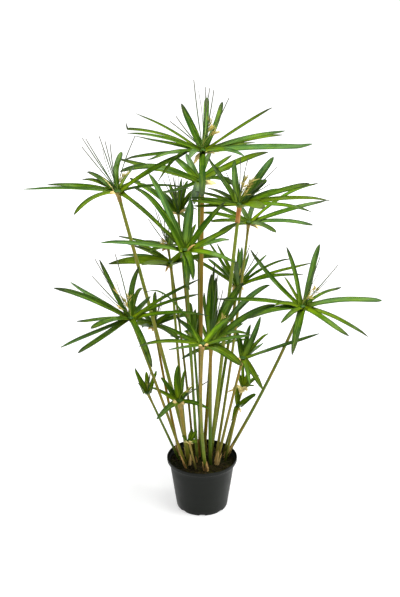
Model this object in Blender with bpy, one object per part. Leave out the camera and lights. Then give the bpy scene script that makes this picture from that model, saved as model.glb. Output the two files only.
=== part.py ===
"""Dwarf papyrus in a black nursery pot. Metres, +Z up, -Y to the front, origin at the centre of the pot's underside."""

import math

import bmesh
import bpy
import numpy as np
from mathutils.bvhtree import BVHTree

MM = 0.001
GAP = 0.3

POT_HEIGHT = 130.0
POT_RIM_RADIUS = 85.0
POT_BODY_RADIUS = 80.5
POT_BASE_RADIUS = 62.0
POT_COLLAR_DROP = 10.0
POT_WALL = 1.8
POT_FLOOR = 2.4
POT_FOOT_ROUND = 2.4
POT_SIDES = 30
NOTCH_COUNT = 8
NOTCH_WIDTH = 15.0
NOTCH_HEIGHT = 3.0

SOIL_TOP = 116.0
SOIL_CROWN = 4.0
ROOT_DEPTH = 26.0
SOCKET_RUN = 1.7
STEM_SIDES = 6
STEM_FLARE = 1.35

HUB_RADIUS = 8.0
HUB_RISE = 4.0
HUB_DROP = 5.0
HUB_SIDES = 6
LEAF_SEAT = 5.0
LEAF_STATIONS = ((0.0, 0.42), (0.24, 0.9), (0.52, 1.0), (0.8, 0.74))
STRAIGHT_STATIONS = ((0.0, 0.42), (0.34, 1.0), (0.76, 0.8))
SLIM_STATIONS = ((0.0, 0.5), (0.5, 1.0))
STRAIGHT_ARCH = 10.0
SLIM_ARCH = 5.0
SLIM_WIDTH = 8.0
LEAF_FOLD = 0.22
LEAF_FACING = np.array((0.0, -0.5, 0.87))

CORE_RADIUS = 2.2
CORE_HEIGHT = 13.0
RAY_START = 9.0
RAY_RADIUS = 0.75

SWAY = np.array((0.0, 7.0, -2.6))
SWAY_STEPS = (0, 1, -1, 2, -2, 3, -3, 4, -4, 5, -5, 6, -6, 7, -7, 8, -8)
CLEARANCE = 0.9

# Each shoot in mm: foot (right, back), bow of the stem's middle, crown (right, back, up) and stem thickness.
# A leaf is its tip from the crown (right, back, up), its arch and its width. A ray is its tip from the crown.
SHOOTS = {
    "01": dict(
        foot=(-5, 25), bow=(-1, 0), crown=(1, -20, 885), thick=10,
        leaves=[
            (-47, 120, 80, 4, 10), (9, 110, 91, 4, 10), (43, 90, 87, 4, 8), (148, 30, 87, 6, 7),
            (180, 40, 34, 6, 9), (120, 80, 1, 3, 9), (228, -60, 22, 1, 13), (84, -90, 10, 8, 7),
            (-144, 40, 71, 8, 6), (-168, 0, 47, 12, 9), (-158, -40, 46, 9, 7), (-153, 60, 17, 3, 9),
            (-167, -40, -9, 4, 6), (-115, -100, 0, 9, 6), (-29, -150, 15, 10, 10),
            (-1, -130, -67, 15, 13), (-93, -60, -52, 25, 5), (174, 60, 22, 6, 7), (46, -60, 12, 5, 15),
        ],
        rays=[
            (-19, 0, 150), (6, 10, 133), (15, 20, 130), (23, -10, 130), (55, 0, 112), (-58, 30, 69),
            (-70, 0, 63),
        ],
    ),
    "02": dict(
        foot=(-1, 54), bow=(-3, 0), crown=(-7, 120, 784), thick=7,
        leaves=[
            (157, 0, 68, 14, 10), (79, 100, 38, 4, 7), (81, -80, 12, 12, 7), (75, 110, 1, 6, 7),
            (-182, -30, 28, 23, 10), (-192, 40, 40, 5, 8), (-63, 110, 33, 4, 9), (-32, 130, 32, 2, 9),
            (-95, -120, 3, -6, 7), (-12, -140, -17, 6, 9), (30, 140, 40, 8, 7), (-110, 90, 2, 10, 7),
        ],
        rays=[],
    ),
    "03": dict(
        foot=(-28, 2), bow=(2, 0), crown=(-184, -30, 798), thick=9,
        leaves=[
            (-200, -20, 9, 4, 10), (-162, 50, 2, 6, 12), (-88, 110, 2, 6, 8), (-80, 120, 16, 6, 9),
            (-90, -60, -37, 9, 9), (5, 80, 66, 6, 11), (158, -10, 88, 9, 12), (132, -60, -105, 10, 8),
            (29, 120, 25, 4, 5), (168, 60, -13, 13, 7), (49, 80, 3, 6, 7),
        ],
        rays=[
            (-71, 0, 116), (-67, 30, 108), (-70, -20, 101), (-36, 10, 118), (-22, -10, 112),
            (-14, 20, 99), (41, 0, 120),
        ],
    ),
    "04": dict(
        foot=(-12, 53), bow=(2, 0), crown=(-57, 160, 698), thick=6,
        leaves=[
            (7, 60, 67, 3, 7), (21, 80, 58, 3, 7), (37, 100, 23, 3, 7), (-7, 120, 24, 3, 7),
            (-40, 90, 28, 3, 8), (-119, 60, 66, 8, 8), (44, 110, -24, 8, 7), (-88, 30, 65, 6, 8),
            (30, -110, 5, 6, 8), (-20, 60, 50, 3, 7), (34, 60, 40, 3, 7),
        ],
        rays=[(-25, 0, 97), (-14, 10, 100), (-7, 0, 97), (1, -10, 92), (14, 10, 73), (-35, 0, 78)],
    ),
    "05": dict(
        foot=(20, 15), bow=(0, 0), crown=(80, -50, 774), thick=9,
        leaves=[
            (-67, 90, 81, 3, 8), (-10, 80, 79, 5, 9), (73, 30, 96, 5, 9), (59, 40, 46, 3, 10),
            (53, 60, 61, 1, 12), (95, 50, 24, 5, 6), (152, 20, 42, 4, 9), (196, -20, 16, 12, 10),
            (148, -60, 2, 9, 8), (43, -120, 36, 5, 17), (-69, 110, 8, 7, 8), (-94, 80, 6, 5, 8),
            (-116, 30, 6, 5, 8), (-104, -20, 13, 1, 9), (-100, 40, -17, 1, 8), (-85, 20, 5, 3, 8),
        ],
        rays=[(1, 10, 101), (17, 0, 102), (79, 0, 82), (-30, 0, 71), (63, -20, 50), (50, 10, 45)],
    ),
    "06": dict(
        foot=(32, -2), bow=(4, 0), crown=(108, 100, 690), thick=7,
        leaves=[
            (56, -90, 3, 8, 10), (150, -20, -2, 9, 9), (180, 20, 46, 6, 9), (167, 60, 77, 20, 8),
            (21, 130, 15, 6, 8), (-20, 120, 11, 6, 8), (-118, 20, 17, 8, 9), (-92, -60, 19, 5, 8),
            (-70, -90, 3, 6, 9), (-84, 110, 14, 4, 9),
        ],
        rays=[],
    ),
    "07": dict(
        foot=(-37, 24), bow=(-1, 0), crown=(-73, 60, 605), thick=7,
        leaves=[
            (-139, -40, 9, 9, 11), (-122, 60, -3, 8, 8), (-108, 90, 18, 5, 7), (-90, 120, 9, 6, 6),
            (-60, -90, 26, 4, 10), (131, 20, 7, 8, 9), (60, 110, 2, 8, 7), (46, -80, 30, 4, 9),
            (34, -60, 52, 1, 12),
        ],
        rays=[],
    ),
    "08": dict(
        foot=(-12, -6), bow=(0, 0), crown=(-36, -140, 700), thick=7,
        leaves=[
            (-76, 60, 150, 14, 12), (-112, 20, 130, 30, 10), (6, 80, 77, 3, 12), (14, 60, 96, 3, 11),
            (22, 60, 40, 3, 5), (83, 50, 90, 6, 9), (111, 10, 54, 0, 9), (98, 70, 6, 2, 8),
            (104, -50, -12, 8, 10), (-174, -20, 24, 6, 9), (6, -118, -44, 16, 11), (19, -100, -31, 15, 9),
            (-60, 100, 22, 5, 7), (-35, 60, 45, 3, 7), (-25, 50, 58, 3, 8),
        ],
        rays=[],
    ),
    "09": dict(
        foot=(22, 42), bow=(0, 0), crown=(88, 180, 506), thick=8,
        leaves=[
            (-103, 0, 66, 3, 8), (-77, 30, 109, 3, 7), (-51, 60, 88, 3, 8), (-74, 80, 43, 3, 7),
            (4, 70, 73, 3, 8), (12, 50, 83, 3, 9), (31, 80, 54, 3, 6), (72, 50, 62, 3, 6),
            (137, 10, 67, 14, 7), (177, -10, 58, 7, 7), (156, -40, 40, 11, 9), (-9, -85, 88, 3, 9),
            (-45, -60, 70, 4, 8),
        ],
        rays=[(50, 20, 80), (30, 30, 95), (-10, 20, 90)],
    ),
    "10": dict(
        foot=(-38, -31), bow=(2, 0), crown=(-155, -130, 543), thick=7,
        leaves=[
            (-165, 10, 67, 6, 10), (-133, 40, 66, 6, 7), (-69, 60, 112, 2, 9), (13, 90, 81, 8, 9),
            (26, 110, 29, 20, 7), (-109, -60, 14, 3, 8), (-76, -90, 13, 8, 9), (-144, -60, -43, 7, 9),
            (-107, -90, -43, 2, 12), (50, -108, -67, 6, 11), (149, 10, 85, 6, 7), (146, 30, 42, 8, 7),
            (166, -30, 17, 11, 9), (38, 100, 13, 1, 10),
        ],
        rays=[(-72, 0, 134), (-78, -10, 99), (-29, 0, 145)],
    ),
    "11": dict(
        foot=(-55, 28), bow=(-2, 0), crown=(-116, 110, 429), thick=7,
        leaves=[
            (48, 100, -14, 8, 8), (95, 60, 1, 8, 9), (-48, -40, 23, 6, 12), (0, 60, 61, 4, 7),
            (-60, 80, 21, 5, 7), (60, -90, 1, 6, 8), (-100, 20, 11, 8, 8), (70, 20, 31, 8, 7),
            (-24, -80, 28, 3, 12),
        ],
        rays=[(3, 20, 75), (20, 30, 70)],
    ),
    "12": dict(
        foot=(57, 20), bow=(8, 0), crown=(221, -80, 550), thick=8,
        leaves=[
            (174, 0, 13, 8, 11), (142, -40, -54, 8, 9), (92, -80, -38, 8, 10), (-30, -108, -69, 8, 12),
            (-55, -105, 3, 6, 9), (-188, 20, 8, 8, 8), (-123, -70, -2, 10, 12), (-116, 30, 121, 2, 9),
            (-34, 100, 36, 3, 7), (-35, 40, 125, 3, 8), (35, 40, 131, 3, 11), (94, 90, 8, 11, 9),
            (-63, -30, 17, 6, 7),
        ],
        rays=[(74, 0, 97), (35, 10, 112)],
    ),
    "13": dict(
        foot=(9, -44), bow=(-8, 0), crown=(1, -200, 512), thick=8,
        leaves=[
            (-133, -20, 4, 10, 8), (-70, -100, 30, 1, 8), (-123, 60, 97, 42, 7), (-58, 110, 14, 6, 8),
            (-92, 60, 21, 0, 7), (97, -60, 43, 5, 8), (77, -80, -13, 9, 13), (60, 100, 20, 6, 9),
        ],
        rays=[],
    ),
    "14": dict(
        foot=(20, -20), bow=(-1, 0), crown=(19, -60, 457), thick=9,
        leaves=[
            (0, 20, 153, 2, 13), (12, 50, 135, 1, 12), (71, 10, 137, 16, 14), (132, -10, 140, 34, 12),
            (146, -10, 95, 15, 12), (20, 110, 14, 5, 8), (-17, 40, 100, 1, 6), (79, -60, 44, 14, 7),
            (6, 20, 174, 1, 6), (42, 20, 100, 3, 14),
        ],
        rays=[(16, 0, 165), (27, 0, 125)],
    ),
    "15": dict(
        foot=(5, 39), bow=(0, 0), crown=(22, 90, 378), thick=9,
        leaves=[
            (80, 60, 40, 5, 7), (110, 0, 20, 8, 7), (60, -80, 5, 8, 8), (20, 110, 20, 8, 7),
            (-42, 80, 66, 4, 7), (-100, 20, 20, 8, 7), (-70, -70, 0, 6, 8), (40, 60, 80, 3, 7),
        ],
        rays=[],
    ),
    "16": dict(
        foot=(35, -17), bow=(-1, 0), crown=(92, -60, 417), thick=7,
        leaves=[
            (41, 50, 81, 4, 9), (18, 70, 52, 2, 7), (62, 60, 39, 4, 8), (50, 90, -4, 1, 6),
            (171, 0, 60, 2, 8), (42, -78, -44, 6, 12), (14, -70, -35, 8, 7), (-12, 60, 41, 4, 7),
            (-8, 60, 30, 3, 8),
        ],
        rays=[],
    ),
    "17": dict(
        foot=(53, 38), bow=(0, 0), crown=(99, 50, 291), thick=6,
        leaves=[
            (20, 20, 45, 2, 6), (0, 40, 50, 2, 5), (28, -20, 30, 2, 5), (24, -40, 22, 3, 5),
            (40, 30, 15, 3, 5), (-10, 40, 20, 2, 5),
        ],
        rays=[],
    ),
    "18": dict(
        foot=(56, 2), bow=(0, 0), crown=(85, -14, 273), thick=7,
        leaves=[(43, 20, 21, 3, 7), (-2, 40, 26, 2, 7), (-15, -30, -25, 6, 6), (10, -30, 20, 2, 5)],
        rays=[],
    ),
    "19": dict(
        foot=(-56, 8), bow=(0, 0), crown=(-130, 10, 295), thick=6,
        leaves=[
            (-31, 20, 55, 2, 8), (-3, 30, 42, 2, 7), (-19, -26, 37, 2, 7), (21, 20, 46, 2, 5),
            (12, -20, 25, 2, 5),
        ],
        rays=[(8, 0, 55)],
    ),
    "20": dict(
        foot=(-32, -17), bow=(0, 0), crown=(-52, -70, 314), thick=10,
        leaves=[
            (-49, -50, -21, 6, 9), (66, -30, -6, 6, 8), (-2, 20, 83, 2, 10), (11, 40, 63, 2, 6),
            (-44, 30, 46, 3, 7), (-67, 0, 36, 3, 7), (30, 30, 23, 4, 5), (20, 50, -10, 5, 6),
        ],
        rays=[(67, 20, 42)],
    ),
    "21": dict(
        foot=(-15, -40), bow=(0, 0), crown=(-31, -45, 196), thick=5,
        leaves=[(18, 10, 22, 2, 5), (8, 22, 20, 2, 5), (-14, 10, 10, 2, 5), (16, -15, 5, 2, 4)],
        rays=[],
    ),
    "22": dict(
        foot=(-22, 47), bow=(5, 0), crown=(-80, 95, 632), thick=6,
        leaves=[
            (-120, 50, 11, 1, 6), (-40, -40, 3, 4, 7), (65, 90, -29, 6, 7), (34, 120, 3, 4, 7),
            (-70, 80, -11, 6, 6), (8, 70, 15, 3, 6),
        ],
        rays=[(-45, 0, 68), (-29, 10, 89), (-8, -10, 90), (1, 0, 72), (-22, 0, 80)],
    ),
    "23": dict(
        foot=(1, 2), bow=(0, 0), crown=(-20, 10, 436), thick=7,
        leaves=[
            (-8, 30, 79, 3, 9), (3, -20, 82, 3, 9), (13, 30, 60, 3, 9), (10, -40, 64, 3, 9),
            (-23, 20, 12, 4, 6), (24, 20, 20, 4, 6),
        ],
        rays=[],
    ),
}


def vec(*numbers):
    """Numbers as an array of floats."""
    return np.array(numbers, dtype=float)


def unit(vector):
    """A vector scaled to a length of one."""
    return vector / np.linalg.norm(vector)


def leaf_line(crown, tip, arch):
    """The leaf's middle line from its seat on the crown to its tip: a straight run plus a parabolic arch."""
    outward = unit(vec(tip[0], tip[1], 0.0))
    seat = crown + outward * LEAF_SEAT
    run = crown + tip - seat

    def point(t):
        return seat + run * t + vec(0.0, 0.0, arch * 4.0 * t * (1.0 - t))

    return point


def leaf_stations(arch, width):
    """A leaf's cross sections as (place along it, share of its width): fewer where it is straight and slim."""
    if arch > STRAIGHT_ARCH:
        return LEAF_STATIONS
    if arch > SLIM_ARCH or width > SLIM_WIDTH:
        return STRAIGHT_STATIONS
    return SLIM_STATIONS


def leaf_prism(crown, leaf, sway=0, extra=0.0):
    """A blade of triangular section, flat above and keeled below, ending in a point: its points and faces."""
    *tip, arch, width = leaf
    tip = vec(*tip) + SWAY * sway
    point = leaf_line(crown, tip, arch)
    side = unit(np.cross(tip, LEAF_FACING))
    stations = leaf_stations(arch, width)
    points = []
    for t, share in stations:
        along = unit(point(t + 0.05) - point(t - 0.05))
        upper = unit(np.cross(side, along))
        half = side * (width * share / 2.0 + extra)
        middle = point(t)
        points.append(middle - half + upper * extra)
        points.append(middle + half + upper * extra)
        points.append(middle - upper * (width * share * LEAF_FOLD + extra))
    points.append(point(1.0))
    return points, prism_faces(len(stations), 3, True)


def prism_faces(rings, sides, pointed):
    """Faces of a run of rings closed by a cap at the foot and by a point or a cap at the far end."""
    faces = [tuple(range(sides))]
    for ring in range(rings - 1):
        low = ring * sides
        for i in range(sides):
            j = (i + 1) % sides
            faces.append((low + i, low + j, low + sides + j, low + sides + i))
    top = (rings - 1) * sides
    if pointed:
        faces += [(top + i, top + (i + 1) % sides, rings * sides) for i in range(sides)]
    else:
        faces.append(tuple(top + i for i in range(sides)))
    return faces


def ring_points(centre, radius, sides, turn=0.0):
    """A level ring of points about a centre."""
    angles = [turn + math.tau * i / sides for i in range(sides)]
    return [centre + radius * vec(math.cos(a), math.sin(a), 0.0) for a in angles]


def stem_point(shoot, t):
    """The stem's middle line from the soil at t = 0 to the crown at t = 1, bowed at its middle."""
    foot = vec(*shoot["foot"], SOIL_TOP)
    bow = vec(*shoot["bow"], 0.0)
    return foot + (vec(*shoot["crown"]) - foot) * t + bow * 4.0 * t * (1.0 - t)


def stem_prism(shoot, extra=0.0):
    """A slender six-sided stem, straight below the soil, tapering upwards and flared under the crown."""
    radius = shoot["thick"] / 2.0
    top = stem_point(shoot, 1.0) - vec(0.0, 0.0, HUB_DROP + GAP)
    start = stem_point(shoot, 0.0)
    slope = unit(stem_point(shoot, 0.05) - start)
    below = start - slope * (ROOT_DEPTH / slope[2])
    stations = [(below, radius * 1.02), (start, radius * 1.02)]
    heights = (0.5, 0.93) if any(shoot["bow"]) else (0.93,)
    stations += [(stem_point(shoot, t), radius * (1.0 - 0.14 * t)) for t in heights]
    stations.append((top, radius * STEM_FLARE * 0.86))
    points = []
    for centre, size in stations:
        points += ring_points(centre, size + extra, STEM_SIDES)
    return points, prism_faces(len(stations), STEM_SIDES, False)


def hub_prism(crown, extra=0.0):
    """The knot on a stem's top that every leaf of a crown grows from."""
    stations = ((-HUB_DROP, 0.62), (-0.5, 1.0), (HUB_RISE, 0.55))
    points = []
    for rise, share in stations:
        points += ring_points(crown + vec(0.0, 0.0, rise), HUB_RADIUS * share + extra, HUB_SIDES)
    return points, prism_faces(len(stations), HUB_SIDES, False)


def core_prism(crown):
    """The spindle in the middle of a crown that the rays grow from."""
    foot = HUB_RISE + GAP
    points = []
    for rise, share in ((foot, 0.8), (foot + CORE_HEIGHT * 0.5, 1.0)):
        points += ring_points(crown + vec(0.0, 0.0, rise), CORE_RADIUS * share, STEM_SIDES)
    points.append(crown + vec(0.0, 0.0, foot + CORE_HEIGHT))
    return points, prism_faces(2, STEM_SIDES, True)


def ray_prism(crown, ray, sway=0, extra=0.0):
    """A hair-thin ray: a long three-sided spike from the core to its tip."""
    seat = crown + vec(0.0, 0.0, RAY_START)
    tip = crown + vec(*ray) + SWAY * sway
    along = unit(tip - seat)
    side = unit(np.cross(along, vec(0.3, 1.0, 0.0)))
    other = np.cross(along, side)
    angles = [math.tau * i / 3.0 for i in range(3)]
    thick = RAY_RADIUS + extra
    points = [seat + thick * (side * math.cos(a) + other * math.sin(a)) for a in angles]
    points.append(tip)
    return points, prism_faces(1, 3, True)


def tree_of(prism):
    """A search tree over a prism's triangles."""
    points, faces = prism
    triangles = [(face[0], face[i], face[i + 1]) for face in faces for i in range(1, len(face) - 1)]
    return BVHTree.FromPolygons([tuple(p) for p in points], triangles)


def box_of(prism):
    """The least and greatest corner of a prism."""
    points = np.array(prism[0])
    return points.min(axis=0), points.max(axis=0)


def clear_of(prism, others, owner):
    """True where a prism touches none of the pieces placed by other owners."""
    low, high = box_of(prism)
    tree = None
    for name, other_low, other_high, other_tree in others:
        if name == owner or (low > other_high).any() or (high < other_low).any():
            continue
        tree = tree or tree_of(prism)
        if tree.overlap(other_tree):
            return False
    return True


def settle(shoots):
    """How far each leaf and ray sways back or forward, so that it lies beside its neighbours and not through them."""
    placed = []

    def place(owner, prism):
        placed.append((owner, *box_of(prism), tree_of(prism)))

    for name, shoot in shoots.items():
        place("stem" + name, stem_prism(shoot))
        place("crown" + name, hub_prism(vec(*shoot["crown"])))
    sways = {}
    for name, shoot in shoots.items():
        crown = vec(*shoot["crown"])
        chosen = []
        for leaf in shoot["leaves"]:
            for step in SWAY_STEPS:
                if clear_of(leaf_prism(crown, leaf, step, CLEARANCE), placed, "crown" + name):
                    break
            else:
                print("no clear place for leaf", name, leaf)
            chosen.append(step)
            place("crown" + name, leaf_prism(crown, leaf, step))
        sways[name] = chosen
    for name, shoot in shoots.items():
        crown = vec(*shoot["crown"])
        chosen = []
        for ray in shoot["rays"]:
            for step in SWAY_STEPS:
                if clear_of(ray_prism(crown, ray, step, CLEARANCE), placed, "tuft" + name):
                    break
            else:
                print("no clear place for ray", name, ray)
            chosen.append(step)
            place("tuft" + name, ray_prism(crown, ray, step))
        sways[name + "rays"] = chosen
    return sways


def mesh_of(name, prisms):
    """One mesh holding every prism given, in metres, with its faces outwards."""
    bm = bmesh.new()
    for points, faces in prisms:
        corners = [bm.verts.new(tuple(p * MM)) for p in points]
        made = [bm.faces.new([corners[i] for i in face]) for face in faces]
        bmesh.ops.recalc_face_normals(bm, faces=made)
    bmesh.ops.triangulate(bm, faces=bm.faces[:])
    mesh = bpy.data.meshes.new(name)
    bm.to_mesh(mesh)
    bm.free()
    return mesh


def add(name, mesh, colour, roughness):
    """An object with a plain material of its own."""
    obj = bpy.data.objects.new(name, mesh)
    bpy.context.scene.collection.objects.link(obj)
    material = bpy.data.materials.new(name)
    material.use_nodes = True
    shader = material.node_tree.nodes["Principled BSDF"]
    shader.inputs["Base Color"].default_value = (*colour, 1.0)
    shader.inputs["Roughness"].default_value = roughness
    mesh.materials.clear()
    mesh.materials.append(material)
    return obj


def combine(obj, other_mesh, operation):
    """An object's mesh joined with another mesh, or cut by it."""
    cutter = bpy.data.objects.new("cutter", other_mesh)
    bpy.context.scene.collection.objects.link(cutter)
    cutter.hide_render = True
    cutter.display_type = "WIRE"
    boolean = obj.modifiers.new("Boolean", "BOOLEAN")
    boolean.solver = "EXACT"
    boolean.use_self = True
    boolean.operation = operation
    boolean.object = cutter
    bpy.context.view_layer.update()
    graph = bpy.context.evaluated_depsgraph_get()
    old = obj.data
    obj.data = bpy.data.meshes.new_from_object(obj.evaluated_get(graph))
    obj.data.name = old.name
    obj.modifiers.clear()
    bpy.data.meshes.remove(old)
    bpy.data.objects.remove(cutter)
    bpy.data.meshes.remove(other_mesh)


def turned(name, profile):
    """A solid of revolution from a closed (radius, height) outline whose ends lie on the axis."""
    bm = bmesh.new()
    rings = []
    for radius, height in profile:
        if radius == 0.0:
            rings.append([bm.verts.new((0.0, 0.0, height * MM))])
        else:
            ring = ring_points(vec(0.0, 0.0, height), radius, POT_SIDES)
            rings.append([bm.verts.new(tuple(p * MM)) for p in ring])
    for a, b in zip(rings, rings[1:]):
        for i in range(POT_SIDES):
            j = (i + 1) % POT_SIDES
            corners = [a[i % len(a)], a[j % len(a)], b[j % len(b)], b[i % len(b)]]
            bm.faces.new(list(dict.fromkeys(corners)))
    bmesh.ops.recalc_face_normals(bm, faces=bm.faces[:])
    mesh = bpy.data.meshes.new(name)
    bm.to_mesh(mesh)
    bm.free()
    return mesh


def outer_radius(height):
    """The pot body's outer radius at a height: a straight taper from the foot to the collar."""
    return POT_BASE_RADIUS + (POT_BODY_RADIUS - POT_BASE_RADIUS) * height / POT_HEIGHT


def build_pot():
    """The pot: a thin tapered shell with a stepped collar, a rounded foot and drain notches at the foot."""
    collar = POT_HEIGHT - POT_COLLAR_DROP
    edge = 0.8
    inner = POT_RIM_RADIUS - POT_WALL
    profile = (
        (0.0, 0.0),
        (POT_BASE_RADIUS - POT_FOOT_ROUND, 0.0),
        (POT_BASE_RADIUS - 0.6, 1.0),
        (outer_radius(POT_FOOT_ROUND), POT_FOOT_ROUND),
        (outer_radius(collar - 1.5), collar - 1.5),
        (POT_RIM_RADIUS - 1.2, collar),
        (POT_RIM_RADIUS, POT_HEIGHT - edge),
        (POT_RIM_RADIUS - edge, POT_HEIGHT),
        (inner, POT_HEIGHT - edge),
        (inner - 1.2, collar + POT_WALL),
        (outer_radius(collar) - POT_WALL, collar),
        (outer_radius(POT_FLOOR) - POT_WALL, POT_FLOOR),
        (0.0, POT_FLOOR),
    )
    pot = add("pot", turned("pot", profile), (0.012, 0.014, 0.013), 0.42)
    notches = []
    for k in range(NOTCH_COUNT):
        turn = math.tau * (k / NOTCH_COUNT) - math.pi / 2.0
        out = vec(math.cos(turn), math.sin(turn), 0.0)
        across = vec(-out[1], out[0], 0.0) * NOTCH_WIDTH / 2.0
        near = out * (POT_BASE_RADIUS - 3.6)
        far = out * (POT_BASE_RADIUS + 4.0)
        foot = [near - across, far - across, far + across, near + across]
        points = [p - vec(0.0, 0.0, 1.0) for p in foot] + [p + vec(0.0, 0.0, NOTCH_HEIGHT) for p in foot]
        notches.append((points, prism_faces(2, 4, False)))
    combine(pot, mesh_of("notches", notches), "DIFFERENCE")
    return pot


def build_soil():
    """The soil and root ball: it fills the pot to below the rim, with a socket for every stem."""
    def inside(height):
        return outer_radius(height) - POT_WALL - GAP

    bottom = POT_FLOOR + GAP
    profile = (
        (0.0, bottom),
        (inside(bottom), bottom),
        (inside(SOIL_TOP), SOIL_TOP),
        (inside(SOIL_TOP) * 0.6, SOIL_TOP + SOIL_CROWN),
        (0.0, SOIL_TOP + SOIL_CROWN),
    )
    soil = add("soil", turned("soil", profile), (0.03, 0.022, 0.008), 0.95)
    sockets = []
    for shoot in SHOOTS.values():
        points, faces = stem_prism(shoot, GAP)
        below = [p - vec(0.0, 0.0, GAP) for p in points[:STEM_SIDES]]
        start = points[STEM_SIDES : 2 * STEM_SIDES]
        above = [b + (a - b) * SOCKET_RUN for a, b in zip(start, below)]
        sockets.append((below + above, prism_faces(2, STEM_SIDES, False)))
    combine(soil, mesh_of("sockets", sockets), "DIFFERENCE")
    return soil


def build_shoots():
    """Every stem, its crown of leaves and, where it has one, its tuft of rays."""
    sways = settle(SHOOTS)
    for name, shoot in SHOOTS.items():
        crown = vec(*shoot["crown"])
        add("stem_" + name, mesh_of("stem_" + name, [stem_prism(shoot)]), (0.16, 0.19, 0.03), 0.5)
        leaves = [leaf_prism(crown, leaf, sway) for leaf, sway in zip(shoot["leaves"], sways[name])]
        whorl = add("leaves_" + name, mesh_of("leaves_" + name, [hub_prism(crown)]), (0.06, 0.17, 0.02), 0.45)
        combine(whorl, mesh_of("blades", leaves), "UNION")
        if shoot["rays"]:
            rays = [ray_prism(crown, ray, sway) for ray, sway in zip(shoot["rays"], sways[name + "rays"])]
            tuft = add("tuft_" + name, mesh_of("tuft_" + name, [core_prism(crown)]), (0.35, 0.33, 0.12), 0.7)
            combine(tuft, mesh_of("spikes", rays), "UNION")


for old_object in list(bpy.data.objects):
    bpy.data.objects.remove(old_object)
build_pot()
build_soil()
build_shoots()
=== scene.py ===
"""Dwarf papyrus in a black nursery pot, dressed. Sizes are millimetres, +Z up, -Y to the front."""

import math

import bpy
import numpy as np
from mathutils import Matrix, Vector


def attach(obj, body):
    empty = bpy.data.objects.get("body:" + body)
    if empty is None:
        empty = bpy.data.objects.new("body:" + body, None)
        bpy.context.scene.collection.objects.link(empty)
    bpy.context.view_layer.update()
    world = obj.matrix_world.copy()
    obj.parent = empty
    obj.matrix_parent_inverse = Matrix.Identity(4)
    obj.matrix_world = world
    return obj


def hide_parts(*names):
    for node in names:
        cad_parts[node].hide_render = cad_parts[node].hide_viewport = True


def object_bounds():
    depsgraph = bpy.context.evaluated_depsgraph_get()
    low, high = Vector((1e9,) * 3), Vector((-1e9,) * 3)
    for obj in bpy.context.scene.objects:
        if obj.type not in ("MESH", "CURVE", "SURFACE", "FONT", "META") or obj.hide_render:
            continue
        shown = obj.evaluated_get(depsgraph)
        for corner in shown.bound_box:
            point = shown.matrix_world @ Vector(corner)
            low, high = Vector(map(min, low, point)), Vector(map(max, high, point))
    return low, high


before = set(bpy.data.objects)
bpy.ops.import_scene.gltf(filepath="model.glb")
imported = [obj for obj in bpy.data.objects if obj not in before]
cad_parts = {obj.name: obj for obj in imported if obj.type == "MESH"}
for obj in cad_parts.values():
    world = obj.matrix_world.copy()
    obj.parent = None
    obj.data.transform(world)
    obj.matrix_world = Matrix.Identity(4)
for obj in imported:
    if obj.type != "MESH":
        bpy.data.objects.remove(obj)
cad_low, cad_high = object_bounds()

MM = 0.001
UP = np.array((0.0, 0.0, 1.0))
LEVEL = np.array((1.0, 1.0, 0.0))

# The pot, the soil and the growth, as in the solids.
POT_HEIGHT = 130.0
POT_RIM_RADIUS = 85.0
POT_BODY_RADIUS = 80.5
POT_BASE_RADIUS = 62.0
POT_COLLAR_DROP = 10.0
POT_WALL = 1.8
POT_FLOOR = 2.4
POT_FOOT_ROUND = 2.4
NOTCH_COUNT = 8
NOTCH_WIDTH = 15.0
NOTCH_HEIGHT = 3.0
SOIL_TOP = 116.0
SOIL_CROWN = 4.0
ROOT_DEPTH = 26.0
STEM_FLARE = 1.35
HUB_DROP = 5.0
LEAF_SEAT = 5.0
LEAF_FOLD = 0.22
LEAF_FACING = np.array((0.0, -0.5, 0.87))
RAY_START = 9.0
SWAY = np.array((0.0, 7.0, -2.6))
SWAY_STEPS = 8

# Small sizes of the dressed pieces, in mm.
LIP_RADIUS = 0.9
UNDERSIDE_RING = 30.0
SOIL_GAP = 0.3
SOIL_REACH = 76.4
LONGEST_WAVE = 34.0
RAY_THICK = 1.4
SHORT_RAY_THICK = 0.8

# How many rings, sides and pieces things have.
LEAF_RINGS = 30
STEM_RINGS = 46
STEM_SIDES = 18
CUP_SIDES = 22
RAY_SIDES = 5
SHORT_RAYS = 3
SPIKELET_RINGS = 7
SPIKELET_SIDES = 6
SOIL_RINGS = 70
SOIL_SIDES = 150
GROUND_WAVES = 18
CRUMBS = 900
THREADS = 2600
POT_SIDES = 200

# The camera, fitted to the pot's rim and foot: place in metres, pitch down in degrees, lens in mm.
CAMERA_PLACE = (-0.005, -2.126, 1.342)
CAMERA_PITCH = 20.7
CAMERA_LENS = 60.0
CAMERA_FRAME = 36.0

# The stage, in metres. The air is the light from all round. The floor's own glow grows between the near and
# the far distance. A lamp is its name, place, what it is turned to, size across and power.
AIR_STRENGTH = 0.32
FLOOR_HALF = 12.0
FLOOR_HEIGHT = -0.0004
FLOOR_TINTS = ((0.62, 0.62, 0.615), (0.64, 0.64, 0.64))
FLOOR_GLOW = 0.58
DOME_RADIUS = 11.0
DOME_TINTS = ((0.02, 0.02, 0.02), (0.021, 0.021, 0.021))
GLOW_NEAR = 1.5
GLOW_FAR = 3.0
FAR_GLOW = 1.06
LAMPS = (
    ("lamp_back", (0.3, 3.2, 1.6), (0.0, 0.0, 0.6), 3.6, 34.0),
    ("lamp_right", (3.0, 0.3, 1.3), (0.0, 0.0, 0.5), 2.6, 46.0),
    ("lamp_left", (-3.0, 0.2, 1.3), (0.0, 0.0, 0.5), 2.6, 14.0),
    ("lamp_over", (0.5, -0.6, 3.0), (0.0, 0.0, 0.6), 1.3, 98.0),
)

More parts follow.
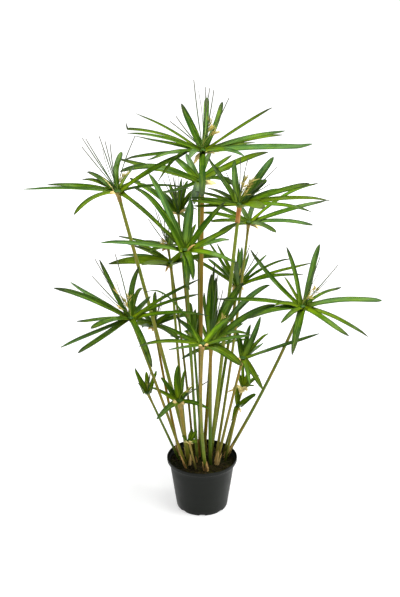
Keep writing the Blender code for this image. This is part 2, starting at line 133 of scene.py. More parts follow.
# Each shoot in mm: foot (right, back), bow of the stem's middle, crown (right, back, up) and stem
# thickness. A leaf is its tip from the crown (right, back, up), its arch and its width. A ray is its
# tip from the crown. A stem without a bow is straight, and a shoot without rays has no tuft.
SHOOTS = {
    "01": dict(foot=(-5, 25), bow=(-1, 0), crown=(1, -20, 885), thick=10, leaves=[
        (-47, 120, 80, 4, 10), (9, 110, 91, 4, 10), (43, 90, 87, 4, 8), (148, 30, 87, 6, 7),
        (180, 40, 34, 6, 9), (120, 80, 1, 3, 9), (228, -60, 22, 1, 13), (84, -90, 10, 8, 7),
        (-144, 40, 71, 8, 6), (-168, 0, 47, 12, 9), (-158, -40, 46, 9, 7), (-153, 60, 17, 3, 9),
        (-167, -40, -9, 4, 6), (-115, -100, 0, 9, 6), (-29, -150, 15, 10, 10), (-1, -130, -67, 15, 13),
        (-93, -60, -52, 25, 5), (174, 60, 22, 6, 7), (46, -60, 12, 5, 15),
    ], rays=[
        (-19, 0, 150), (6, 10, 133), (15, 20, 130), (23, -10, 130), (55, 0, 112), (-58, 30, 69),
        (-70, 0, 63),
    ]),
    "02": dict(foot=(-1, 54), bow=(-3, 0), crown=(-7, 120, 784), thick=7, leaves=[
        (157, 0, 68, 14, 10), (79, 100, 38, 4, 7), (81, -80, 12, 12, 7), (75, 110, 1, 6, 7),
        (-182, -30, 28, 23, 10), (-192, 40, 40, 5, 8), (-63, 110, 33, 4, 9), (-32, 130, 32, 2, 9),
        (-95, -120, 3, -6, 7), (-12, -140, -17, 6, 9), (30, 140, 40, 8, 7), (-110, 90, 2, 10, 7),
    ]),
    "03": dict(foot=(-28, 2), bow=(2, 0), crown=(-184, -30, 798), thick=9, leaves=[
        (-200, -20, 9, 4, 10), (-162, 50, 2, 6, 12), (-88, 110, 2, 6, 8), (-80, 120, 16, 6, 9),
        (-90, -60, -37, 9, 9), (5, 80, 66, 6, 11), (158, -10, 88, 9, 12), (132, -60, -105, 10, 8),
        (29, 120, 25, 4, 5), (168, 60, -13, 13, 7), (49, 80, 3, 6, 7),
    ], rays=[
        (-71, 0, 116), (-67, 30, 108), (-70, -20, 101), (-36, 10, 118), (-22, -10, 112), (-14, 20, 99),
        (41, 0, 120),
    ]),
    "04": dict(foot=(-12, 53), bow=(2, 0), crown=(-57, 160, 698), thick=6, leaves=[
        (7, 60, 67, 3, 7), (21, 80, 58, 3, 7), (37, 100, 23, 3, 7), (-7, 120, 24, 3, 7),
        (-40, 90, 28, 3, 8), (-119, 60, 66, 8, 8), (44, 110, -24, 8, 7), (-88, 30, 65, 6, 8),
        (30, -110, 5, 6, 8), (-20, 60, 50, 3, 7), (34, 60, 40, 3, 7),
    ], rays=[(-25, 0, 97), (-14, 10, 100), (-7, 0, 97), (1, -10, 92), (14, 10, 73), (-35, 0, 78)]),
    "05": dict(foot=(20, 15), crown=(80, -50, 774), thick=9, leaves=[
        (-67, 90, 81, 3, 8), (-10, 80, 79, 5, 9), (73, 30, 96, 5, 9), (59, 40, 46, 3, 10),
        (53, 60, 61, 1, 12), (95, 50, 24, 5, 6), (152, 20, 42, 4, 9), (196, -20, 16, 12, 10),
        (148, -60, 2, 9, 8), (43, -120, 36, 5, 17), (-69, 110, 8, 7, 8), (-94, 80, 6, 5, 8),
        (-116, 30, 6, 5, 8), (-104, -20, 13, 1, 9), (-100, 40, -17, 1, 8), (-85, 20, 5, 3, 8),
    ], rays=[(1, 10, 101), (17, 0, 102), (79, 0, 82), (-30, 0, 71), (63, -20, 50), (50, 10, 45)]),
    "06": dict(foot=(32, -2), bow=(4, 0), crown=(108, 100, 690), thick=7, leaves=[
        (56, -90, 3, 8, 10), (150, -20, -2, 9, 9), (180, 20, 46, 6, 9), (167, 60, 77, 20, 8),
        (21, 130, 15, 6, 8), (-20, 120, 11, 6, 8), (-118, 20, 17, 8, 9), (-92, -60, 19, 5, 8),
        (-70, -90, 3, 6, 9), (-84, 110, 14, 4, 9),
    ]),
    "07": dict(foot=(-37, 24), bow=(-1, 0), crown=(-73, 60, 605), thick=7, leaves=[
        (-139, -40, 9, 9, 11), (-122, 60, -3, 8, 8), (-108, 90, 18, 5, 7), (-90, 120, 9, 6, 6),
        (-60, -90, 26, 4, 10), (131, 20, 7, 8, 9), (60, 110, 2, 8, 7), (46, -80, 30, 4, 9),
        (34, -60, 52, 1, 12),
    ]),
    "08": dict(foot=(-12, -6), crown=(-36, -140, 700), thick=7, leaves=[
        (-76, 60, 150, 14, 12), (-112, 20, 130, 30, 10), (6, 80, 77, 3, 12), (14, 60, 96, 3, 11),
        (22, 60, 40, 3, 5), (83, 50, 90, 6, 9), (111, 10, 54, 0, 9), (98, 70, 6, 2, 8),
        (104, -50, -12, 8, 10), (-174, -20, 24, 6, 9), (6, -118, -44, 16, 11), (19, -100, -31, 15, 9),
        (-60, 100, 22, 5, 7), (-35, 60, 45, 3, 7), (-25, 50, 58, 3, 8),
    ]),
    "09": dict(foot=(22, 42), crown=(88, 180, 506), thick=8, leaves=[
        (-103, 0, 66, 3, 8), (-77, 30, 109, 3, 7), (-51, 60, 88, 3, 8), (-74, 80, 43, 3, 7),
        (4, 70, 73, 3, 8), (12, 50, 83, 3, 9), (31, 80, 54, 3, 6), (72, 50, 62, 3, 6), (137, 10, 67, 14, 7),
        (177, -10, 58, 7, 7), (156, -40, 40, 11, 9), (-9, -85, 88, 3, 9), (-45, -60, 70, 4, 8),
    ], rays=[(50, 20, 80), (30, 30, 95), (-10, 20, 90)]),
    "10": dict(foot=(-38, -31), bow=(2, 0), crown=(-155, -130, 543), thick=7, leaves=[
        (-165, 10, 67, 6, 10), (-133, 40, 66, 6, 7), (-69, 60, 112, 2, 9), (13, 90, 81, 8, 9),
        (26, 110, 29, 20, 7), (-109, -60, 14, 3, 8), (-76, -90, 13, 8, 9), (-144, -60, -43, 7, 9),
        (-107, -90, -43, 2, 12), (50, -108, -67, 6, 11), (149, 10, 85, 6, 7), (146, 30, 42, 8, 7),
        (166, -30, 17, 11, 9), (38, 100, 13, 1, 10),
    ], rays=[(-72, 0, 134), (-78, -10, 99), (-29, 0, 145)]),
    "11": dict(foot=(-55, 28), bow=(-2, 0), crown=(-116, 110, 429), thick=7, leaves=[
        (48, 100, -14, 8, 8), (95, 60, 1, 8, 9), (-48, -40, 23, 6, 12), (0, 60, 61, 4, 7),
        (-60, 80, 21, 5, 7), (60, -90, 1, 6, 8), (-100, 20, 11, 8, 8), (70, 20, 31, 8, 7),
        (-24, -80, 28, 3, 12),
    ], rays=[(3, 20, 75), (20, 30, 70)]),
    "12": dict(foot=(57, 20), bow=(8, 0), crown=(221, -80, 550), thick=8, leaves=[
        (174, 0, 13, 8, 11), (142, -40, -54, 8, 9), (92, -80, -38, 8, 10), (-30, -108, -69, 8, 12),
        (-55, -105, 3, 6, 9), (-188, 20, 8, 8, 8), (-123, -70, -2, 10, 12), (-116, 30, 121, 2, 9),
        (-34, 100, 36, 3, 7), (-35, 40, 125, 3, 8), (35, 40, 131, 3, 11), (94, 90, 8, 11, 9),
        (-63, -30, 17, 6, 7),
    ], rays=[(74, 0, 97), (35, 10, 112)]),
    "13": dict(foot=(9, -44), bow=(-8, 0), crown=(1, -200, 512), thick=8, leaves=[
        (-133, -20, 4, 10, 8), (-70, -100, 30, 1, 8), (-123, 60, 97, 42, 7), (-58, 110, 14, 6, 8),
        (-92, 60, 21, 0, 7), (97, -60, 43, 5, 8), (77, -80, -13, 9, 13), (60, 100, 20, 6, 9),
    ]),
    "14": dict(foot=(20, -20), bow=(-1, 0), crown=(19, -60, 457), thick=9, leaves=[
        (0, 20, 153, 2, 13), (12, 50, 135, 1, 12), (71, 10, 137, 16, 14), (132, -10, 140, 34, 12),
        (146, -10, 95, 15, 12), (20, 110, 14, 5, 8), (-17, 40, 100, 1, 6), (79, -60, 44, 14, 7),
        (6, 20, 174, 1, 6), (42, 20, 100, 3, 14),
    ], rays=[(16, 0, 165), (27, 0, 125)]),
    "15": dict(foot=(5, 39), crown=(22, 90, 378), thick=9, leaves=[
        (80, 60, 40, 5, 7), (110, 0, 20, 8, 7), (60, -80, 5, 8, 8), (20, 110, 20, 8, 7),
        (-42, 80, 66, 4, 7), (-100, 20, 20, 8, 7), (-70, -70, 0, 6, 8), (40, 60, 80, 3, 7),
    ]),
    "16": dict(foot=(35, -17), bow=(-1, 0), crown=(92, -60, 417), thick=7, leaves=[
        (41, 50, 81, 4, 9), (18, 70, 52, 2, 7), (62, 60, 39, 4, 8), (50, 90, -4, 1, 6), (171, 0, 60, 2, 8),
        (42, -78, -44, 6, 12), (14, -70, -35, 8, 7), (-12, 60, 41, 4, 7), (-8, 60, 30, 3, 8),
    ]),
    "17": dict(foot=(53, 38), crown=(99, 50, 291), thick=6, leaves=[
        (20, 20, 45, 2, 6), (0, 40, 50, 2, 5), (28, -20, 30, 2, 5), (24, -40, 22, 3, 5), (40, 30, 15, 3, 5),
        (-10, 40, 20, 2, 5),
    ]),
    "18": dict(foot=(56, 2), crown=(85, -14, 273), thick=7, leaves=[
        (43, 20, 21, 3, 7), (-2, 40, 26, 2, 7), (-15, -30, -25, 6, 6), (10, -30, 20, 2, 5),
    ]),
    "19": dict(foot=(-56, 8), crown=(-130, 10, 295), thick=6, leaves=[
        (-31, 20, 55, 2, 8), (-3, 30, 42, 2, 7), (-19, -26, 37, 2, 7), (21, 20, 46, 2, 5),
        (12, -20, 25, 2, 5),
    ], rays=[(8, 0, 55)]),
    "20": dict(foot=(-32, -17), crown=(-52, -70, 314), thick=10, leaves=[
        (-49, -50, -21, 6, 9), (66, -30, -6, 6, 8), (-2, 20, 83, 2, 10), (11, 40, 63, 2, 6),
        (-44, 30, 46, 3, 7), (-67, 0, 36, 3, 7), (30, 30, 23, 4, 5), (20, 50, -10, 5, 6),
    ], rays=[(67, 20, 42)]),
    "21": dict(foot=(-15, -40), crown=(-31, -45, 196), thick=5, leaves=[
        (18, 10, 22, 2, 5), (8, 22, 20, 2, 5), (-14, 10, 10, 2, 5), (16, -15, 5, 2, 4),
    ]),
    "22": dict(foot=(-22, 47), bow=(5, 0), crown=(-80, 95, 632), thick=6, leaves=[
        (-120, 50, 11, 1, 6), (-40, -40, 3, 4, 7), (65, 90, -29, 6, 7), (34, 120, 3, 4, 7),
        (-70, 80, -11, 6, 6), (8, 70, 15, 3, 6),
    ], rays=[(-45, 0, 68), (-29, 10, 89), (-8, -10, 90), (1, 0, 72), (-22, 0, 80)]),
    "23": dict(foot=(1, 2), crown=(-20, 10, 436), thick=7, leaves=[
        (-8, 30, 79, 3, 9), (3, -20, 82, 3, 9), (13, 30, 60, 3, 9), (10, -40, 64, 3, 9),
        (-23, 20, 12, 4, 6), (24, 20, 20, 4, 6),
    ]),
}

# Each stem's colour: how brown it is at its top and at its foot, from 0, fresh green, to 1, dry brown,
# and how pale.
STEM_HUES = {
    "01": (1.0, 0.95, 0.16), "02": (0.22, 0.15, 0.4), "03": (0.3, 0.12, 0.66), "04": (0.5, 0.5, 0.2),
    "05": (0.22, 0.05, 0.85), "06": (0.45, 0.7, 0.55), "07": (0.25, 0.3, 0.55), "08": (0.15, 0.2, 0.3),
    "09": (0.35, 0.25, 0.12), "10": (0.3, 0.5, 0.2), "11": (0.8, 0.95, 0.12), "12": (0.3, 0.4, 0.18),
    "13": (0.75, 0.1, 0.48), "14": (0.85, 0.05, 0.15), "15": (0.55, 0.6, 0.0), "16": (0.75, 0.65, 0.3),
    "17": (0.6, 0.6, 0.62), "18": (0.5, 0.5, 0.45), "19": (0.25, 0.1, 0.35), "20": (1.0, 0.5, 0.4),
    "21": (0.95, 0.9, 1.0), "22": (0.3, 0.55, 0.1), "23": (0.12, 0.25, 0.25),
}

# The cup under each crown: its hue from green, 0, through tan, 0.5, to rust, 1, and its reach and
# greatest radius in mm.
CUPS = {
    "01": (0.5, 16, 7.6), "02": (0.3, 10, 6.1), "03": (0.5, 23, 9.6), "04": (0.15, 9, 5.6),
    "05": (0.95, 42, 6.6), "06": (0.45, 14, 6.4), "07": (0.12, 12, 7.0), "08": (0.05, 9, 6.1),
    "09": (0.3, 16, 8.6), "10": (0.4, 10, 7.0), "11": (0.62, 16, 7.6), "12": (0.2, 10, 7.2),
    "13": (0.62, 13, 8.2), "14": (0.55, 12, 7.6), "15": (0.5, 12, 7.4), "16": (0.72, 18, 8.0),
    "17": (0.55, 12, 5.8), "18": (0.45, 10, 6.1), "19": (0.35, 11, 6.6), "20": (0.46, 22, 8.2),
    "21": (0.6, 9, 5.0), "22": (0.3, 9, 5.6), "23": (0.08, 9, 5.6),
}

# Pale papery scales: each one's tip from the crown in mm (right, back, up), its width and how rusty it is.
SCALES = {
    "01": [(-19, -12, -27, 11, 0.35), (26, -14, -4, 12, 0.25), (36, 4, -5, 10, 0.2)],
    "02": [(41, -14, -5, 21, 0.02), (30, -4, -9, 15, 0.04)],
    "03": [(-15, -12, -4, 12, 0.45), (-33, 2, 31, 2.4, 0.1)],
    "04": [(-22, -10, -4, 9, 0.35), (22, -8, 6, 14, 0.5)],
    "06": [(31, -12, -7, 12, 0.15), (22, -18, -11, 10, 0.4)],
    "07": [(-12, -12, -20, 7, 0.8)],
    "08": [(21, -6, 14, 6, 0.8)],
    "09": [(-24, -14, -2, 10, 0.3), (-14, -16, -10, 10, 0.4), (14, -14, -8, 10, 0.35)],
    "11": [(-14, -12, -8, 11, 0.5), (-4, -14, -12, 10, 0.6)],
    "12": [(-17, -10, -12, 6, 0.55)],
    "13": [(12, -12, 0, 10, 0.55), (-8, -14, -3, 9, 0.6)],
    "16": [(-16, -10, -3, 11, 0.45), (-12, -12, -14, 9, 0.6)],
    "17": [
        (-26, -12, -5, 23, 0.08), (-19, -18, 5, 20, 0.05), (6, -18, 3, 17, 0.1), (-9, -16, -9, 20, 0.15),
        (-42, -4, -14, 6, 0.3), (10, -12, -5, 12, 0.1),
    ],
    "18": [(6, -10, -14, 6, 0.2)],
    "20": [(-20, -8, -2, 11, 0.3), (12, -12, -5, 9, 0.5)],
    "21": [(-12, -8, 0, 7, 0.0), (9, -10, -3, 8, 0.05), (2, -9, 2, 7, 0.1)],
    "22": [(-17, -8, 12, 8, 0.6), (-14, -10, -8, 9, 0.7)],
}

# Dry strips round the stems' feet: how many, height in mm, and colour from 0, cream, to 1, rust.
FOOT_STRIPS = {
    "01": (4, 52, 0.85), "02": (3, 34, 0.9), "03": (3, 30, 0.45), "04": (2, 30, 0.9), "06": (2, 30, 0.25),
    "07": (3, 40, 0.25), "08": (2, 26, 0.5), "10": (2, 46, 0.5), "11": (3, 62, 0.45), "12": (3, 50, 0.3),
    "13": (5, 36, 0.35), "15": (3, 50, 0.25), "16": (5, 48, 0.0), "20": (3, 34, 0.1), "05": (2, 20, 0.6),
}

# Flower heads: each one's place from the crown in mm, its number of spikelets, and how yellow it is.
FLOWER_HEADS = {
    "01": [(18, 0, 48, 16, 0.7), (24, -4, 40, 12, 0.8), (15, 8, 58, 8, 0.6)],
    "03": [(12, 2, 28, 12, 0.5), (20, 6, 38, 8, 0.6)],
    "04": [(-6, 4, 40, 6, 0.3)],
    "05": [
        (9, 0, 44, 14, 0.7), (14, 6, 56, 10, 0.7), (22, 2, 46, 14, 0.8), (27, -4, 56, 9, 0.6),
        (13, -8, 26, 8, 0.9),
    ],
    "09": [(8, 6, 34, 5, 0.4)],
    "10": [
        (-4, 0, 50, 8, 0.9), (-16, 4, 42, 8, 0.9), (-22, -6, 26, 7, 0.95), (-6, -8, 30, 5, 0.7),
        (-30, 0, 60, 6, 0.9),
    ],
    "11": [(4, 4, 32, 5, 0.4)],
    "12": [(24, 0, 44, 8, 0.95), (31, 6, 36, 7, 0.9), (14, -6, 26, 8, 0.6)],
    "14": [(30, 0, 62, 7, 0.9), (18, 8, 42, 4, 0.6), (38, 4, 50, 5, 0.9)],
    "19": [(2, 2, 24, 3, 0.4)],
    "20": [(20, 4, 28, 5, 0.6)],
    "22": [(-12, 0, 17, 10, 0.9), (-8, -6, 8, 7, 0.7), (-4, 4, 26, 5, 0.5)],
}

# Blades that turn near their tips: the leaf's number, the share of its length where it turns, and the
# tip's shift in mm.
LEAF_TURNS = {
    "01": [(9, 0.955, (5, 0, 13)), (6, 0.88, (0, 0, 5))],
    "05": [(9, 0.0, (0, 0, -12))],
    "12": [(11, 0.85, (3, 0, 4))],
}

# Blades that bow at their middle: the leaf's number and the shift in mm.
LEAF_BOWS = {
    "01": [(2, (5, 0, 0)), (1, (2, 0, 0)), (0, (-2, 0, 0)), (6, (0, 0, 2)), (3, (0, 0, -3))],
    "02": [(0, (0, 0, -6))],
    "03": [(5, (-7, 0, 0)), (4, (-6, 0, 3)), (0, (0, 0, 2))],
    "05": [(1, (-3, 0, 0)), (7, (0, 0, -3)), (9, (0, 0, 3))],
    "10": [
        (0, (0, 0, 3)), (1, (0, 0, -6)), (2, (-3, 0, 0)), (3, (-6, 0, 0)), (4, (-2, 0, 0)), (7, (0, 0, -5)),
        (8, (0, 0, -3)), (9, (2, 0, 0)),
    ],
    "11": [(2, (0, 0, -7))],
    "12": [(0, (0, 0, 2)), (2, (-2, 0, -3)), (7, (-4, 0, -5)), (9, (4, 0, 0)), (10, (-1, 0, 0))],
    "13": [(2, (0, 0, -4))],
    "14": [(3, (3, 0, -9))],
    "16": [(0, (4, 0, 0))],
    "20": [(2, (-5, 0, 0))],
}

# How much fuller a blade is at its widest than the faceted solid's, for all shoots, and how much
# fuller still, or slimmer, those of some shoots are.
LEAF_FULLNESS = 1.5
SHOOT_FULLNESS = {
    "01": 1.1, "02": 1.28, "04": 1.02, "05": 1.12, "07": 1.25, "08": 1.08, "09": 0.9, "10": 0.95, "22": 1.0,
    "23": 0.85,
}

# Blades that are slimmer or broader than their shoot's others: the leaf's number, its fullness against
# theirs, and how long it holds its width, from 1.5, soon narrowing, to 40, blunt.
LEAF_SHAPES = {
    "01": [
        (0, 1.0, 4), (1, 0.75, 30), (2, 0.85, 12), (3, 0.62, 6), (4, 0.9, 6), (8, 0.85, 4), (9, 0.6, 40),
        (10, 0.85, 4), (15, 0.66, 20), (6, 0.95, 8),
    ],
    "03": [(0, 0.85, 6), (1, 0.62, 4), (6, 0.85, 5), (4, 0.8, 7), (5, 0.78, 14)],
    "05": [
        (8, 0.9, 4), (9, 1.05, 8), (11, 0.8, 5), (12, 0.7, 5), (13, 0.7, 6), (14, 0.8, 5), (2, 1.25, 8),
        (7, 1.0, 5),
    ],
    "06": [(1, 1.0, 12), (2, 1.15, 6), (3, 0.8, 6), (0, 1.1, 12)],
    "07": [(0, 1.5, 1.5), (4, 1.3, 3), (8, 1.35, 3)],
    "08": [(0, 0.8, 5), (9, 0.85, 6)],
    "10": [(0, 0.95, 5), (7, 0.75, 6), (8, 0.75, 8), (9, 0.75, 8), (2, 0.85, 5)],
    "12": [
        (0, 0.95, 16), (1, 0.85, 6), (2, 0.9, 6), (7, 0.85, 6), (9, 0.85, 6), (8, 0.7, 5), (10, 0.82, 9),
        (11, 0.6, 14),
    ],
    "13": [(2, 0.42, 5), (0, 0.9, 5)],
    "14": [(3, 0.85, 5)],
    "16": [(2, 0.75, 3), (4, 0.75, 6), (5, 0.85, 5)],
    "18": [(2, 0.45, 4)],
}

# Leaves whose green stands out, by their numbers. The others fall where chance puts them. Then each
# green's tone, from deep, 0, to fresh, 1, and its cast, from olive, 0, to grey-green, 1.
LEAF_LOOKS = {
    "lime": {"01": (17,), "05": (9,), "07": (0, 3, 4, 8), "09": (9,), "11": (2,), "19": (1,)},
    "fresh": {
        "01": (18,), "02": (6,), "03": (1, 6), "04": (0, 1, 3, 5, 9), "05": (6, 8), "06": (3, 6),
        "07": (6,), "09": (10,), "10": (8, 12), "11": (3,), "12": (0, 2, 5), "13": (7,), "14": (0,),
        "20": (2,),
    },
    "olive": {
        "01": (8, 9, 3), "02": (0, 3, 5), "03": (2, 4, 8), "04": (6,), "05": (7, 10, 14), "06": (7,),
        "07": (2,), "12": (12, 1, 8), "13": (0,), "16": (2,), "17": (0, 3), "20": (5,),
    },
    "deep": {
        "01": (0, 2, 11, 13, 15, 16), "02": (1, 2, 4, 8, 10), "03": (3, 5, 9, 10), "04": (4, 7),
        "05": (0, 12), "06": (0, 4, 5), "08": (1, 5, 10, 11), "09": (6, 8, 11), "10": (2, 3, 5, 6, 9, 13),
        "11": (1, 8), "12": (3, 6, 11), "13": (1, 2, 3), "14": (1, 8), "16": (1,), "20": (4, 7),
        "23": (0, 1, 2, 3),
    },
    "sage": {
        "01": (1, 6, 14), "02": (7, 9), "03": (0,), "05": (1, 2, 3, 4, 5), "08": (0, 2, 3, 9), "07": (1,),
        "10": (1, 7), "12": (0, 10), "14": (3,), "16": (0, 4),
    },
}
LOOK_TONES = {
    "lime": (1.0, 0.4), "fresh": (0.8, 0.35), "olive": (0.75, 0.08), "deep": (0.12, 0.5),
    "sage": (0.5, 0.95),
}


def vec(*numbers):
    """Numbers as an array of floats."""
    return np.array(numbers, dtype=float)


def unit(vectors):
    """Vectors scaled to a length of one, along the last axis."""
    return vectors / np.maximum(np.linalg.norm(vectors, axis=-1, keepdims=True), 1e-12)


def ease(x):
    """An S-shaped rise from 0 to 1: 3x squared less 2x cubed, held between its ends."""
    x = np.clip(x, 0.0, 1.0)
    return x * x * (3.0 - 2.0 * x)


def shares(count):
    """Even shares of a length, from 0 to 1, as an array (1, stations, 1)."""
    return np.linspace(0.0, 1.0, count)[None, :, None]


def bearings(count):
    """Even angles once round."""
    return math.tau * np.arange(count) / count


def rng_of(name, salt=0):
    """A random source that is the same on every run, from a piece's name."""
    return np.random.default_rng(sum(ord(c) * (i + 7) for i, c in enumerate(name)) + 1000 * salt)


def walls(index):
    """Four-cornered faces between neighbouring rings of corner numbers, whose last axis goes round."""
    beside = np.roll(index, -1, axis=-1)
    corners = index[..., :-1, :], beside[..., :-1, :], beside[..., 1:, :], index[..., 1:, :]
    return np.stack(corners, axis=-1).reshape(-1, 4)


def skin(rings):
    """Closed tubes from rings of points (tubes, stations, around, 3): walls, and flat faces at the ends."""
    index = np.arange(rings[..., 0].size).reshape(rings.shape[:3])
    return rings.reshape(-1, 3), [walls(index), np.concatenate([index[:, 0, ::-1], index[:, -1]])]


def tube_rings(paths, radii, around, flat=1.0):
    """Round tubes: at each point of a path a circle stands square to the path, with the radius given there.
    Paths are (tubes, stations, 3) and radii (tubes, stations). flat narrows the circles one way."""
    along = unit(np.gradient(paths, axis=1))
    mean = unit(along.mean(axis=1, keepdims=True))
    reference = np.where(np.abs(mean[..., 2:]) > 0.9, vec(0.2, 1.0, 0.0), UP)
    side = unit(np.cross(reference, along))
    other = np.cross(along, side)
    angle = bearings(around)[:, None]
    circle = side[:, :, None] * np.cos(angle) + other[:, :, None] * (np.sin(angle) * flat)
    return paths[:, :, None] + circle * radii[:, :, None, None]


def turned(profile, around, bump):
    """A surface of revolution: each (radius, height) of a closed outline, whose ends lie on the axis, is
    carried round the axis. bump moves the grids of radii and heights."""
    profile = np.asarray(profile, dtype=float)
    angle = bearings(around)
    radius, height = (np.repeat(profile[:, i:i + 1], around, axis=1) for i in range(2))
    radius, height = bump(radius, angle[None], height)
    grid = np.stack([radius * np.cos(angle), radius * np.sin(angle), height], axis=-1)
    points = np.concatenate([grid[1:-1].reshape(-1, 3), grid[0, :1], grid[-1, :1]])
    pole = len(points) - 2
    index = np.arange(pole).reshape(-1, around)
    beside = np.roll(index, -1, axis=1)
    first = np.stack([beside[0], index[0], np.full(around, pole)], axis=-1)
    last = np.stack([index[-1], beside[-1], np.full(around, pole + 1)], axis=-1)
    return points, [walls(index), np.concatenate([first, last])]


def outward(points, faces):
    """The same faces, turned over if their volume, the sum of their fans' triple products, is negative."""
    volume = 0.0
    for group in faces:
        a = points[group[:, 0]]
        for i in range(1, group.shape[1] - 1):
            volume += np.einsum("ij,ij->i", a, np.cross(points[group[:, i]], points[group[:, i + 1]])).sum()
    return faces if volume > 0.0 else [group[:, ::-1] for group in faces]


def gather(shapes):
    """Several (points, faces) shapes as one, with the later ones' corner numbers moved up."""
    faces, start = [], 0
    for points, groups in shapes:
        faces += [group + start for group in groups]
        start += len(points)
    return np.concatenate([points for points, groups in shapes]), faces


def linked(name, data):
    """An object of the scene that holds a mesh, a lamp or a lens."""
    made = bpy.data.objects.new(name, data)
    bpy.context.scene.collection.objects.link(made)
    return made


def piece(name, shape, material, slot, nodes=(), crease=50.0, **marks):
    """A piece in metres from a shape in millimetres: its points, held inside the solids' box, and its
    faces, turned outwards. marks are numbers kept at the points for its material. Edges sharper than crease
    degrees stay sharp."""
    points, faces = shape
    faces = outward(points - points.mean(axis=0), faces)
    points = np.clip(points, np.array(cad_low) / MM, np.array(cad_high) / MM) * MM
    mesh = bpy.data.meshes.new(name)
    mesh.from_pydata(points.tolist(), [], [row for group in faces for row in group.tolist()])
    for mark, values in marks.items():
        layer = mesh.attributes.new(mark, "FLOAT", "POINT")
        layer.data.foreach_set("value", np.ascontiguousarray(values, dtype=np.float32).ravel())
    mesh.polygons.foreach_set("use_smooth", np.ones(len(mesh.polygons), dtype=bool))
    mesh.update()
    mesh.set_sharp_from_angle(angle=math.radians(crease))
    mesh.materials.append(material)
    made = linked(name, mesh)
    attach(made, "root")
    if nodes:
        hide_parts(*nodes)


def ring_piece(name, rings, material, slot, nodes=(), crease=50.0, **marks):
    """A piece skinned over rings of points, with its marks spread over all of them."""
    marks = {mark: np.broadcast_to(values, rings.shape[:3]) for mark, values in marks.items()}
    piece(name, skin(rings), material, slot, nodes, crease, **marks)


# Finishes. Each reads Object coordinates or the marks kept at the piece's points.


class Finish:
    """A material's node tree, with short calls for the nodes that the finishes share."""

    def __init__(self, name, roughness, specular, gloss=(1.0, 1.0, 1.0)):
        self.material = bpy.data.materials.new(name)
        self.material.use_nodes = True
        self.tree = self.material.node_tree
        self.shader = self.tree.nodes["Principled BSDF"]
        shine = {"Roughness": roughness, "Specular IOR Level": specular, "Specular Tint": gloss}
        self.fill(self.shader, shine)
        self.place = self.node("TexCoord", {}).outputs["Object"]

    def fill(self, node, inputs):
        """A node with its sockets, by name or number, joined to outputs or set to values."""
        for key, value in inputs.items():
            socket = node.inputs[key]
            if isinstance(value, bpy.types.NodeSocket):
                self.tree.links.new(value, socket)
            else:
                socket.default_value = (*value, 1.0) if socket.type == "RGBA" else value
        return node

    def node(self, kind, inputs, **settings):
        """A new node with its settings and its sockets filled."""
        made = self.tree.nodes.new("ShaderNode" + kind)
        for setting, value in settings.items():
            setattr(made, setting, value)
        return self.fill(made, inputs)

    def mark(self, name):
        """A number kept at the piece's points."""
        return self.node("Attribute", {}, attribute_name=name).outputs["Fac"]

    def math(self, operation, a, b=0.0):
        """One sum on one or two numbers."""
        return self.node("Math", {0: a, 1: b}, operation=operation).outputs[0]

    def times(self, a, b):
        """Two numbers multiplied."""
        return self.math("MULTIPLY", a, b)

    def noise(self, scale, detail=3.0, rough=0.55, stretch=None, where=None):
        """Cloudy noise from 0 to 1, on Object coordinates, which stretch scales, or on where."""
        where = where or self.place
        if stretch:
            where = self.node("Mapping", {"Vector": where, "Scale": stretch}).outputs[0]
        sockets = {"Vector": where, "Scale": scale, "Detail": detail, "Roughness": rough}
        return self.node("TexNoise", sockets).outputs[0]

    def ramp(self, factor, *stops):
        """A colour that changes along a number, through (place, colour) stops."""
        made = self.node("ValToRGB", {"Fac": factor})
        ends = made.color_ramp.elements
        for i, (place, colour) in enumerate(stops):
            stop = ends[i] if i < 2 else ends.new(place)
            stop.position = place
            stop.color = (*colour, 1.0)
        return made.outputs["Color"]

    def mix(self, factor, a, b):
        """Two colours mixed by a number."""
        return self.node("Mix", {0: factor, 6: a, 7: b}, data_type="RGBA").outputs[2]

    def span(self, number, low, high, to_low=0.0, to_high=1.0):
        """A number carried from one range to another, held at the ends."""
        return self.node("MapRange", {0: number, 1: low, 2: high, 3: to_low, 4: to_high}).outputs[0]

    def layers(self, colour, *rows):
        """Paints laid over a colour in turn. A row is a number, where along it the paint has no share and
        where it has most, that most, and the paint."""
        for number, none, full, most, paint in rows:
            colour = self.mix(self.span(number, none, full, 0.0, most), colour, paint)
        return colour

    def finish(self, colour, wear, smooth, dull, height, depth, reach):
        """The material, with its colour, its relief, and a roughness that wear takes from smooth to dull."""
        rough = self.span(wear, 0.3, 0.7, smooth, dull)
        relief = self.node("Bump", {"Strength": depth, "Distance": reach, "Height": height}).outputs[0]
        self.fill(self.shader, {"Base Color": colour, "Roughness": rough, "Normal": relief})
        return self.material


